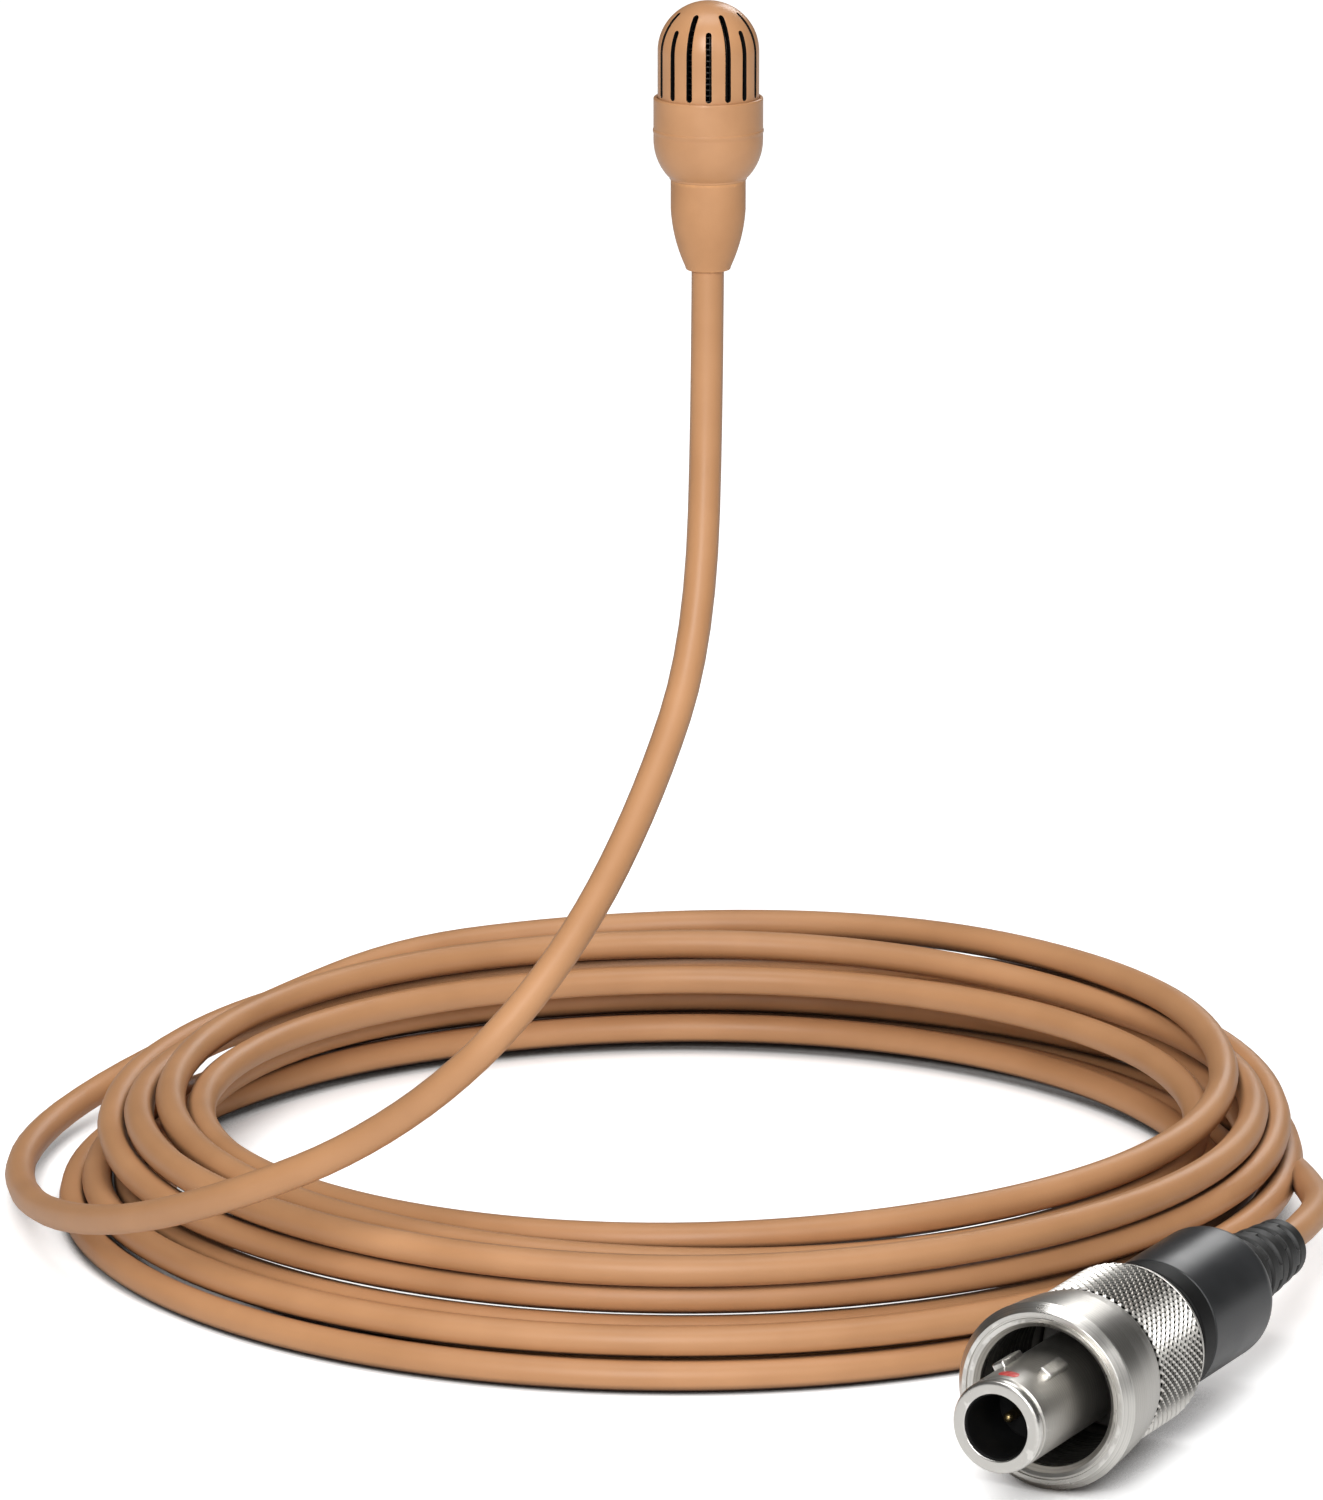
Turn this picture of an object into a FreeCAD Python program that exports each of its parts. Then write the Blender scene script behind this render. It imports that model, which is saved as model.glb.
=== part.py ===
"""Subminiature clip-on microphone with a coiled cord and a threaded round plug.

Millimetres. The origin is the middle of the straight part of the neck sleeve, where a clip
grips the microphone. +Z runs along the head, out of the slotted cap. The cord's coil and the
plug lie on a flat surface below the head.
"""
import FreeCAD, Part
import math
import os

import Sketcher

Vector = FreeCAD.Vector

DRIVING_SIZES = {
    # head, from the cord upwards
    "cord_od": 1.6,
    "neck_od": 3.7,
    "neck_straight": 1.45,
    "neck_taper": 3.05,
    "neck_tip_od": 2.2,
    "neck_plug_od": 2.6,
    "bulb_height": 2.45,
    "bulb_curve": 2.7,
    "shell_wall": 0.35,
    "collar_od": 5.4,
    "collar_height": 1.65,
    "collar_wall": 0.18,
    "cap_od": 5.0,
    "cap_height": 4.75,
    "cap_wall": 0.28,
    "cap_skirt": 0.65,
    "slot_width": 0.3,
    "slot_count": 8.0,
    "long_slot_rise": 2.0,
    "short_slot_rise": 1.26,
    "slot_foot": 0.12,
    "screen_wall": 0.08,
    # microphone capsule
    "capsule_gap": 0.22,
    "capsule_height": 2.6,
    "capsule_wall": 0.12,
    "capsule_port": 1.2,
    "film_height": 0.05,
    "spacer_height": 0.1,
    "board_height": 0.25,
    # plug, from the cord forwards
    "relief_length": 7.9,
    "relief_od": 4.2,
    "relief_tip_od": 3.0,
    "boot_od": 6.9,
    "boot_length": 8.8,
    "boot_wall": 0.33,
    "boot_shoulder": 1.1,
    "nut_gap": 1.2,
    "nut_length": 9.8,
    "nut_band": 4.3,
    "nut_bore": 7.4,
    "nut_front_wall": 1.0,
    "nut_grip_wall": 0.4,
    "barrel_od": 4.6,
    "barrel_bore": 3.3,
    "barrel_reach": 5.0,
    "key_width": 0.7,
    "key_length": 2.0,
    "key_rise": 0.3,
    "pin_od": 0.5,
    "pin_circle": 1.5,
    # fits and places
    "running_gap": 0.02,
    "loose_gap": 0.1,
    "surface_drop": 58.3,
    # coil
    "coil_od": 66.8,
    "coil_bore": 50.0,
    "coil_height": 7.2,
    "coil_round": 1.6,
    "coil_x": -0.8,
    "coil_y": 21.4,
}

# The cord's route, chosen by hand: down out of the neck, forward and round in front of the
# coil, along the surface at its left and up into the coil's back.
FREE_ROUTE = [
    (0.0, 0.0, 2.4),
    (0.0, 0.0, -9.6),
    (-0.4, -3.7, -21.7),
    (-2.9, -7.7, -28.6),
    (-6.4, -12.2, -34.7),
    (-11.2, -14.7, -40.2),
    (-17.1, -10.7, -45.7),
    (-23.5, -8.3, -49.0),
    (-30.1, 0.1, -53.1),
    (-35.5, 13.1, -56.3),
    (-37.2, 25.8, -57.1),
    (-33.7, 38.0, -56.9),
    (-23.8, 45.0, -53.9),
]
# Out of the coil's right side, up and straight into the plug's strain relief.
PLUG_ROUTE = [
    (30.3, 26.5, -57.0),
    (31.7, 14.8, -55.3),
    (31.7, 2.9, -53.6),
    (26.0, -7.6, -53.6),
]
RELIEF_TIP_AHEAD = 5.5      # the strain relief's tip, along the plug, from the last bend
ARC_SHARE = 0.45            # share of the shorter run that each bend takes

doc = FreeCAD.newDocument("microphone")


class Size:
    """A length that knows its number and the spreadsheet expression that gives it."""

    def __init__(self, number, text):
        self.number = number
        self.text = text

    def _with(self, other, sign, number):
        return Size(number, "(%s %s %s)" % (self.text, sign, text_of(other)))

    def __add__(self, other):
        return self._with(other, "+", self.number + number_of(other))

    def __sub__(self, other):
        return self._with(other, "-", self.number - number_of(other))

    def __mul__(self, other):
        return self._with(other, "*", self.number * number_of(other))

    def __truediv__(self, other):
        return self._with(other, "/", self.number / number_of(other))

    def __neg__(self):
        return Size(-self.number, "(0 - %s)" % self.text)


def number_of(value):
    return value.number if isinstance(value, Size) else float(value)


def text_of(value):
    return value.text if isinstance(value, Size) else repr(float(value))


def size_sheet():
    """Put every driving size in the spreadsheet and return the sizes by name."""
    sheet = doc.addObject("Spreadsheet::Sheet", "sizes")
    sizes = {}
    for row, (name, value) in enumerate(DRIVING_SIZES.items(), start=1):
        sheet.set("A%d" % row, name)
        sheet.set("B%d" % row, repr(value))
        sheet.setAlias("B%d" % row, name)
    doc.recompute()
    for name in DRIVING_SIZES:
        sizes[name] = Size(float(sheet.get(name)), "sizes.%s" % name)
    return sizes


size = size_sheet()
parts = []


def keep(piece, label, placement=None):
    """Name a finished piece and put it in its place."""
    piece.Label = label
    if placement is not None:
        piece.Placement = placement
    parts.append(piece)
    return piece


def bind(thing, prop, value):
    setattr(thing, prop, number_of(value))
    if isinstance(value, Size):
        thing.setExpression(prop, value.text)


def origin_feature(body, role):
    return next(item for item in body.Origin.OriginFeatures if item.Role == role)


def sketch_on(body, plane, name, turn=None):
    sketch = body.newObject("Sketcher::SketchObject", name)
    sketch.AttachmentSupport = [(origin_feature(body, plane), "")]
    sketch.MapMode = "FlatFace"
    if turn is not None:
        sketch.AttachmentOffset = turn
    return sketch


def arc_between(start, end, radius):
    """Arc from start to end; a positive radius bends to the left, a negative one to the right."""
    chord = end - start
    half = chord.Length / 2
    rise = math.sqrt(radius * radius - half * half)
    left = Vector(-chord.y, chord.x, 0).normalize()
    side = 1 if radius > 0 else -1
    centre = (start + end) / 2 + left * rise * side
    first, last = (start, end) if side > 0 else (end, start)
    circle = Part.Circle(centre, Vector(0, 0, 1), abs(radius))
    angles = [math.atan2(point.y - centre.y, point.x - centre.x) for point in (first, last)]
    return Part.ArcOfCircle(circle, angles[0], angles[1]), side


def pin_down(sketch, geometry, end, across, up):
    """Tie one corner of an outline to its two sizes."""
    for kind, axis, value in (("DistanceX", -2, across), ("DistanceY", -1, up)):
        if not isinstance(value, Size) and value == 0:
            sketch.addConstraint(Sketcher.Constraint("PointOnObject", geometry, end, axis))
            continue
        rule = Sketcher.Constraint(kind, -1, 1, geometry, end, number_of(value))
        index = sketch.addConstraint(rule)
        if isinstance(value, Size):
            sketch.setExpression("Constraints[%d]" % index, value.text)


def outline(sketch, corners):
    """Closed outline through (across, up) or (across, up, bend), where bend is the radius of
    the arc that leads to that corner."""
    count = len(corners)
    ends = []
    for index in range(count):
        here = corners[index]
        there = corners[(index + 1) % count]
        start = Vector(number_of(here[0]), number_of(here[1]), 0)
        end = Vector(number_of(there[0]), number_of(there[1]), 0)
        if len(there) == 3:
            arc, side = arc_between(start, end, number_of(there[2]))
            sketch.addGeometry(arc, False)
            radius = there[2] if side > 0 else -there[2]
            rule = sketch.addConstraint(Sketcher.Constraint("Radius", index, number_of(radius)))
            sketch.setExpression("Constraints[%d]" % rule, radius.text)
            ends.append((1, 2) if side > 0 else (2, 1))
        else:
            sketch.addGeometry(Part.LineSegment(start, end), False)
            ends.append((1, 2))
    for index, corner in enumerate(corners):
        before = (index - 1) % count
        join = Sketcher.Constraint("Coincident", before, ends[before][1], index, ends[index][0])
        sketch.addConstraint(join)
        pin_down(sketch, index, ends[index][0], corner[0], corner[1])


def round_outline(body, plane, name, radius, across=0, up=0, lift=None):
    """Sketch of one circle, tied to its place on the plane and to its radius."""
    sketch = sketch_on(body, plane, name)
    centre = Vector(number_of(across), number_of(up), 0)
    sketch.addGeometry(Part.Circle(centre, Vector(0, 0, 1), radius.number), False)
    pin_down(sketch, 0, 3, across, up)
    rule = sketch.addConstraint(Sketcher.Constraint("Radius", 0, radius.number))
    sketch.setExpression("Constraints[%d]" % rule, radius.text)
    if lift is not None:
        sketch.AttachmentOffset = FreeCAD.Placement(Vector(0, 0, lift.number), FreeCAD.Rotation())
        sketch.setExpression(".AttachmentOffset.Base.z", lift.text)
    return sketch


def feature_from(body, kind, name, sketch, length, backwards=False):
    """Pad or pocket of a sketch."""
    feature = body.newObject(kind, name)
    feature.Profile = sketch
    feature.Reversed = backwards
    bind(feature, "Length", length)
    sketch.Visibility = False
    doc.recompute()
    return feature


def turned(label, corners):
    """Body turned about Z from an outline of (radius, height) corners."""
    body = doc.addObject("PartDesign::Body", label)
    sketch = sketch_on(body, "XZ_Plane", label + "_outline")
    outline(sketch, corners)
    turn = body.newObject("PartDesign::Revolution", label + "_turn")
    turn.Profile = sketch
    turn.ReferenceAxis = (sketch, ["V_Axis"])
    turn.Angle = 360
    sketch.Visibility = False
    doc.recompute()
    return body


def ring(label, inner_od, outer_od, bottom, top):
    """Plain ring or tube between two heights."""
    inner, outer = inner_od / 2, outer_od / 2
    return turned(label, [(inner, bottom), (outer, bottom), (outer, top), (inner, top)])


def disc(label, outer_od, bottom, top):
    outer = outer_od / 2
    return turned(label, [(0, bottom), (outer, bottom), (outer, top), (0, top)])


def cut_around(body, name, plane, corners, count, depth, turn):
    """Cut an outline into the body and repeat the cut evenly about Z."""
    offset = FreeCAD.Placement(Vector(0, 0, 0), FreeCAD.Rotation(Vector(0, 1, 0), turn))
    sketch = sketch_on(body, plane, name + "_outline", offset)
    outline(sketch, corners)
    volume = body.Shape.Volume
    pocket = feature_from(body, "PartDesign::Pocket", name, sketch, depth, True)
    if not pocket.Shape.Volume < volume:
        raise RuntimeError("%s cuts nothing" % name)
    repeat_round(body, name + "_round", pocket, count)


def repeat_round(body, name, feature, count):
    """The same feature, evenly spaced about Z."""
    pattern = body.newObject("PartDesign::PolarPattern", name)
    pattern.Originals = [feature]
    pattern.Axis = (origin_feature(body, "Z_Axis"), [""])
    pattern.Angle = 360
    pattern.setExpression("Occurrences", text_of(count))
    body.Tip = pattern
    doc.recompute()


def rod(label, diameter, bottom, top, across=0.0, turn=0.0):
    """Upright cylinder that stands beside the axis at an angle round it."""
    cylinder = doc.addObject("Part::Cylinder", label)
    bind(cylinder, "Radius", diameter / 2)
    bind(cylinder, "Height", top - bottom)
    angle = math.radians(turn)
    for axis, share in (("x", math.cos(angle)), ("y", math.sin(angle))):
        offset = across * share
        cylinder.setExpression(".Placement.Base.%s" % axis, text_of(offset))
    cylinder.setExpression(".Placement.Base.z", text_of(bottom))
    return cylinder


def block(label, length, width, height, near, left, bottom):
    """Box with its nearest, leftmost, lowest corner at (near, left, bottom)."""
    box = doc.addObject("Part::Box", label)
    for prop, value in (("Length", length), ("Width", width), ("Height", height)):
        bind(box, prop, value)
    for axis, value in (("x", near), ("y", left), ("z", bottom)):
        box.setExpression(".Placement.Base.%s" % axis, text_of(value))
    return box


def group(label, pieces, placement=None):
    """Several separate solids in one node."""
    compound = doc.addObject("Part::Compound", label)
    compound.Links = pieces
    return keep(compound, label, placement)


# ---------------------------------------------------------------- heights along the head
neck_top = size["neck_straight"] / 2
neck_low = -neck_top
neck_tip = neck_low - size["neck_taper"]
bulb_floor = neck_top + size["shell_wall"]
part_line = neck_top + size["bulb_height"]
collar_edge = part_line + size["collar_height"]
cap_foot = collar_edge - size["cap_skirt"]
cap_top = collar_edge + size["cap_height"]
dome_centre = cap_top - size["cap_od"] / 2
cap_bore = size["cap_od"] - size["cap_wall"] * 2
capsule_od = cap_bore - size["capsule_gap"] * 2

FLANGE_HEIGHT = 0.4         # grip flange of the neck sleeve, inside the bulb
SPIGOT_DEPTH = 0.45         # the collar's spigot in the rear housing
SEAL_HEIGHT = 0.15
BULB_STRAIGHT = 0.5
NECK_CURVE = 2.6            # bend radius of the sleeve's taper, as a share of its height
DIAPHRAGM_FRAME = 0.25      # heights and widths inside the capsule
DIAPHRAGM_BAND = 0.35
BACKPLATE_HEIGHT = 0.3
BACKPLATE_EDGE = 0.25
CUP_LEDGE = 0.35
FERRULE_WALL = 0.3
FERRULE_HEIGHT = 0.8


def head_shells():
    collar_r = size["collar_od"] / 2
    neck_r = size["neck_od"] / 2
    wall = size["shell_wall"]
    hole_r = size["neck_plug_od"] / 2 + size["running_gap"]
    bend_from = part_line - BULB_STRAIGHT
    keep(turned("rear_housing", [
        (hole_r, neck_top), (neck_r, neck_top), (collar_r, bend_from, size["bulb_curve"]),
        (collar_r, part_line), (collar_r - wall, part_line), (collar_r - wall, bend_from),
        (hole_r + wall, bulb_floor), (hole_r, bulb_floor)]), "rear_housing")

    mouth_r = size["cap_od"] / 2 + size["running_gap"]
    seat_r = cap_bore / 2
    spigot_r = collar_r - wall - size["running_gap"]
    spigot_in = seat_r - size["collar_wall"] / 2
    seat = cap_foot - SEAL_HEIGHT
    low = part_line - SPIGOT_DEPTH
    keep(turned("front_collar", [
        (spigot_in, low), (spigot_r, low), (spigot_r, part_line), (collar_r, part_line),
        (collar_r, collar_edge), (mouth_r, collar_edge), (mouth_r, seat), (spigot_in, seat)]),
        "front_collar")
    keep(ring("cap_seal", seat_r * 2, size["cap_od"], seat, cap_foot), "cap_seal")

    cord_hole = size["cord_od"] / 2 + size["running_gap"]
    shank_r = size["neck_plug_od"] / 2
    tip_r = size["neck_tip_od"] / 2
    flange_r = shank_r + wall / 2
    flange_top = bulb_floor + FLANGE_HEIGHT
    taper_curve = size["neck_taper"] * NECK_CURVE
    keep(turned("neck_sleeve", [
        (cord_hole, neck_tip), (tip_r, neck_tip), (neck_r, neck_low, taper_curve),
        (neck_r, neck_top), (shank_r, neck_top), (shank_r, bulb_floor),
        (flange_r, bulb_floor), (flange_r, flange_top), (cord_hole, flange_top)]),
        "neck_sleeve")
    return seat_r, flange_top


def cap_and_screen():
    outer_r = size["cap_od"] / 2
    inner_r = cap_bore / 2
    body = turned("mic_cap", [
        (inner_r, cap_foot), (outer_r, cap_foot), (outer_r, dome_centre),
        (0, cap_top, outer_r), (0, cap_top - size["cap_wall"]), (inner_r, dome_centre, -inner_r)])
    half = size["slot_width"] / 2
    foot = collar_edge + size["slot_foot"]
    for name, rise, turn in (("long_slot", size["long_slot_rise"], 22.5),
                             ("short_slot", size["short_slot_rise"], 0.0)):
        top = dome_centre + rise - half
        cut_around(body, name, "YZ_Plane", [
            (-half, foot), (half, foot), (half, top), (-half, top, half * 1.0001)],
            size["slot_count"], outer_r + 1, turn)
    keep(body, "mic_cap")

    screen_r = inner_r - size["running_gap"]
    inside_r = screen_r - size["screen_wall"]
    foot = cap_foot + size["screen_wall"]
    top = dome_centre + screen_r
    keep(turned("cap_screen", [
        (inside_r, foot), (screen_r, foot), (screen_r, dome_centre), (0, top, screen_r),
        (0, top - size["screen_wall"]), (inside_r, dome_centre, -inside_r)]), "cap_screen")


def capsule(seat_r):
    """Microphone capsule and its amplifier board, held in the collar by a soft ring."""
    can_r = capsule_od / 2
    inner_r = can_r - size["capsule_wall"]
    bottom = part_line + SPIGOT_DEPTH / 2
    top = bottom + size["capsule_height"]
    roof = top - size["capsule_wall"]
    keep(turned("capsule_can", [
        (inner_r, bottom), (can_r, bottom), (can_r, top), (size["capsule_port"] / 2, top),
        (size["capsule_port"] / 2, roof), (inner_r, roof)]), "capsule_can")
    ring_out = (seat_r - size["collar_wall"] / 2) * 2
    keep(ring("capsule_ring", capsule_od, ring_out, bottom, cap_foot - SEAL_HEIGHT), "capsule_ring")

    film_od = (inner_r - size["running_gap"]) * 2
    frame_foot = roof - DIAPHRAGM_FRAME
    film_foot = frame_foot - size["film_height"]
    spacer_foot = film_foot - size["spacer_height"]
    plate_foot = spacer_foot - BACKPLATE_HEIGHT
    board_top = bottom + size["board_height"]
    band_bore = film_od - DIAPHRAGM_BAND * 2
    keep(ring("diaphragm_ring", band_bore, film_od, frame_foot, roof), "diaphragm_ring")
    keep(disc("diaphragm", film_od, film_foot, frame_foot), "diaphragm")
    keep(ring("spacer_ring", band_bore, film_od, spacer_foot, film_foot), "spacer_ring")
    plate_od = film_od - BACKPLATE_EDGE * 2
    keep(disc("backplate", plate_od, plate_foot, spacer_foot), "backplate")
    cup_r = film_od / 2
    plate_r = plate_od / 2 + size["running_gap"]
    ledge_r = plate_r - CUP_LEDGE
    keep(turned("insulator_cup", [
        (ledge_r, board_top), (cup_r, board_top), (cup_r, spacer_foot), (plate_r, spacer_foot),
        (plate_r, plate_foot), (ledge_r, plate_foot)]), "insulator_cup")
    keep(disc("preamp_board", film_od, bottom, board_top), "preamp_board")
    keep(block("transistor", size["board_height"] * 4, size["board_height"] * 3,
               size["board_height"] * 2, -(size["board_height"] * 2),
               -(size["board_height"] * 1.5), board_top), "transistor")
    return bottom


def head_wiring(flange_top, board_foot):
    """Crimp ferrule round the cord's end and the two leads from it to the board."""
    cord_end = Size(FREE_ROUTE[0][2], repr(FREE_ROUTE[0][2]))
    hole = size["cord_od"] + size["running_gap"] * 2
    keep(ring("cord_ferrule", hole, hole + FERRULE_WALL * 2, flange_top,
              flange_top + FERRULE_HEIGHT), "cord_ferrule")
    lead_od = size["cord_od"] / 5
    leads = [rod("lead_%d" % side, lead_od, cord_end, board_foot, size["cord_od"] / 4, turn)
             for side, turn in enumerate((0, 180))]
    group("lead_wires", leads)


# ---------------------------------------------------------------- heights along the plug
boot_back = size["relief_length"]
boot_front = boot_back + size["boot_length"]
nut_back = boot_front + size["nut_gap"]
nut_front = nut_back + size["nut_length"]
barrel_front = nut_front + size["barrel_reach"]
nut_ledge = nut_back + 1.2              # front of the nut's floor, which the washer meets
washer_front = nut_ledge + 0.2
shoulder_front = washer_front + 1.0
insert_back = nut_back - 0.5
insert_front = barrel_front - 3.6

nut_front_od = size["nut_bore"] + size["nut_front_wall"] * 2
nut_grip_od = size["nut_bore"] + size["nut_grip_wall"] * 2

thread_od = size["barrel_od"] + 0.6
holder_bore = thread_od + size["running_gap"] * 2
holder_od = size["boot_od"] - size["boot_wall"] * 2 - size["running_gap"] * 2
holder_back = boot_back + 1.9           # the clamp nut's back, inside the boot
collet_back = holder_back + 1.0
collet_front = boot_front - 2.6
cord_stop = collet_front + 0.3          # where the cord ends and its wires begin
boot_floor = holder_back - 0.6          # inside of the boot's back wall

COLLET_CLEAR = 0.5          # room round the cord in the clamp nut's back wall
COLLET_RIM = 0.4            # straight front edge of the collet
KEY_SETBACK = 2.4           # from the mouth to a key's back, in key lengths
DOT_SETBACK = 0.65          # from the mouth to the dot's middle, in key lengths
DOT_RADIUS = 0.65           # in key widths
DOT_DEPTH = 0.6             # in key rises
PIN_REACH = 1.3             # pins in front of and behind the insulator
PIN_TAIL = 0.8
WIRE_SHARE = 0.8            # wire's thickness and its distance from the axis, beside a pin's
WIRE_INWARD = 0.6
RIB_COUNT = 5
RIB_DEPTH = 0.3
RIB_BACK, RIB_RISE, RIB_TOP, RIB_FRONT = 0.25, 0.45, 0.85, 1.05     # in rib pitches


def plug_place():
    """The plug lies on the surface, pointing the way the cord runs into it."""
    bend = Vector(*PLUG_ROUTE[-2])
    ahead = (Vector(*PLUG_ROUTE[-1]) - bend).normalize()
    tip = bend + ahead * RELIEF_TIP_AHEAD
    tip.z = nut_front_od.number / 2 - size["surface_drop"].number
    up = Vector(0, 0, 1)
    return FreeCAD.Placement(tip, FreeCAD.Rotation(up, ahead.cross(up), ahead, "ZXY"))


def plug_metal(place):
    """Shell with its keys, clamp parts and coupling nut."""
    barrel_r = size["barrel_od"] / 2
    bore_r = size["barrel_bore"] / 2
    lip = size["key_rise"] / 2
    thread_r = thread_od / 2
    shoulder_r = size["nut_bore"] / 2 - size["loose_gap"]
    shell = turned("plug_shell", [
        (bore_r, collet_front), (thread_r, collet_front), (thread_r, washer_front),
        (shoulder_r, washer_front), (shoulder_r, shoulder_front), (barrel_r, shoulder_front),
        (barrel_r, barrel_front - lip), (barrel_r - lip, barrel_front), (bore_r, barrel_front)])
    key_foot = barrel_front - size["key_length"] * KEY_SETBACK
    for name, turn in (("left_key", 30.0), ("right_key", -30.0)):
        spin = FreeCAD.Placement(Vector(0, 0, 0), FreeCAD.Rotation(Vector(0, 1, 0), turn))
        sketch = sketch_on(shell, "YZ_Plane", name + "_outline", spin)
        half = size["key_width"] / 2
        top = key_foot + size["key_length"]
        outline(sketch, [(-half, key_foot), (half, key_foot), (half, top), (-half, top)])
        feature_from(shell, "PartDesign::Pad", name, sketch, barrel_r + size["key_rise"])
    sketch = round_outline(shell, "XY_Plane", "bore_outline", bore_r)
    feature_from(shell, "PartDesign::Pocket", "bore_clear", sketch, barrel_front + 1, True)
    dot = alignment_dot(shell, barrel_r)
    keep(shell, "plug_shell", place)
    keep(dot, "alignment_dot", place)

    ledge_r = thread_r + size["loose_gap"]
    keep(ring("nut_washer", ledge_r * 2, shoulder_r * 2, nut_ledge, washer_front),
         "nut_washer", place)
    grip_r = nut_grip_od / 2
    front_r = nut_front_od / 2
    inner_r = size["nut_bore"] / 2
    band_back = nut_front - size["nut_band"]
    rim = size["key_rise"] * 2
    keep(turned("coupling_nut", [
        (ledge_r, nut_back), (grip_r - lip, nut_back), (grip_r, nut_back + lip),
        (grip_r, band_back), (front_r, nut_front - rim), (front_r - rim, nut_front),
        (inner_r + lip, nut_front), (inner_r, nut_front - lip), (inner_r, nut_ledge),
        (ledge_r, nut_ledge)]), "coupling_nut", place)

    holder_r = holder_od / 2
    cord_hole = size["cord_od"] / 2 + size["running_gap"]
    wall_hole = cord_hole + COLLET_CLEAR
    keep(turned("collet_nut", [
        (wall_hole, holder_back), (holder_r, holder_back), (holder_r, boot_front),
        (holder_bore / 2, boot_front), (holder_bore / 2, collet_back),
        (wall_hole, collet_back)]), "collet_nut", place)
    keep(turned("cord_collet", [
        (cord_hole, collet_back), (bore_r, collet_back), (thread_r, collet_front - COLLET_RIM),
        (thread_r, collet_front), (cord_hole, collet_front)]), "cord_collet", place)


def alignment_dot(shell, barrel_r):
    """Round pocket in the top of the barrel, and the paint dot that fills it."""
    dot_r = size["key_width"] * DOT_RADIUS
    hole_r = dot_r + size["running_gap"]
    ahead = barrel_front - size["key_length"] * DOT_SETBACK
    depth = size["key_rise"] * DOT_DEPTH
    floor_r = barrel_r - depth
    sketch = round_outline(shell, "YZ_Plane", "dot_outline", hole_r, 0, ahead, floor_r)
    feature_from(shell, "PartDesign::Pocket", "dot_pocket", sketch, size["key_width"] * 2, True)
    dot = doc.addObject("PartDesign::Body", "alignment_dot")
    face = round_outline(dot, "YZ_Plane", "dot_face", dot_r, 0, ahead, floor_r)
    feature_from(dot, "PartDesign::Pad", "dot_pad", face, depth)
    return dot


def plug_contacts(place):
    """Insulator with three pins, and the wires from them to the cord's end."""
    insert_od = size["barrel_bore"] - size["running_gap"] * 2
    circle_r = size["pin_circle"] / 2
    hole_r = size["pin_od"] / 2 + size["running_gap"]
    body = disc("pin_insulator", insert_od, insert_back, insert_front)
    sketch = round_outline(body, "XY_Plane", "pin_hole_outline", hole_r, circle_r)
    hole = feature_from(body, "PartDesign::Pocket", "pin_hole", sketch, barrel_front, True)
    turns = (0, 120, 240)
    repeat_round(body, "pin_holes", hole, len(turns))
    keep(body, "pin_insulator", place)

    pin_back = insert_back - PIN_TAIL
    pin_front = insert_front + PIN_REACH
    pins = [rod("pin_%d" % number, size["pin_od"], pin_back, pin_front, circle_r, turn)
            for number, turn in enumerate(turns)]
    group("contact_pins", pins, place)
    wires = [rod("wire_%d" % number, size["pin_od"] * WIRE_SHARE, cord_stop, pin_back,
                 circle_r * WIRE_INWARD, turn)
             for number, turn in enumerate(turns)]
    group("plug_wires", wires, place)


def plug_rubber(place):
    """Boot over the clamp nut, and the ribbed strain relief that comes out of it."""
    boot_r = size["boot_od"] / 2
    inner_r = boot_r - size["boot_wall"]
    root_r = size["relief_od"] / 2
    hole_r = root_r + size["running_gap"]
    shoulder = size["boot_shoulder"]
    keep(turned("plug_boot", [
        (hole_r, boot_back), (boot_r - shoulder, boot_back),
        (boot_r, boot_back + shoulder, shoulder), (boot_r, boot_front),
        (inner_r, boot_front), (inner_r, boot_floor), (hole_r, boot_floor)]),
        "plug_boot", place)

    cord_hole = size["cord_od"] / 2 + size["running_gap"]
    tip_r = size["relief_tip_od"] / 2
    pitch = size["relief_length"] / (RIB_COUNT + 1.0)
    corners = [(cord_hole, 0), (tip_r - RIB_DEPTH, 0)]
    for rib in range(RIB_COUNT):
        radius = tip_r + (root_r - tip_r) * ((rib + 0.5) / RIB_COUNT)
        corners += [(radius - RIB_DEPTH, pitch * (rib + RIB_BACK)),
                    (radius, pitch * (rib + RIB_RISE)), (radius, pitch * (rib + RIB_TOP)),
                    (radius - RIB_DEPTH, pitch * (rib + RIB_FRONT))]
    corners += [(root_r, boot_back - pitch * 0.4), (root_r, boot_floor),
                (inner_r - size["loose_gap"], boot_floor),
                (inner_r - size["loose_gap"], holder_back), (cord_hole, holder_back)]
    keep(turned("strain_relief", corners), "strain_relief", place)


def rounded_path(points):
    """Straight runs joined by tangent arcs as large as the two runs beside each one allow."""
    points = [Vector(*point) for point in points]
    edges = []
    radii = []
    start = points[0]
    for before, corner, after in zip(points, points[1:], points[2:]):
        back = (before - corner).normalize()
        ahead = (after - corner).normalize()
        turn = math.pi - back.getAngle(ahead)
        run = min((corner - before).Length, (after - corner).Length)
        reach = ARC_SHARE * run
        radius = reach / math.tan(turn / 2)
        radii.append(radius)
        first = corner + back * reach
        last = corner + ahead * reach
        middle = (back + ahead).normalize()
        deep = radius / math.cos(turn / 2) - radius
        edges.append(Part.LineSegment(start, first).toShape())
        edges.append(Part.Arc(first, corner + middle * deep, last).toShape())
        start = last
    edges.append(Part.LineSegment(start, points[-1]).toShape())
    return Part.Wire(edges), radii


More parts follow.
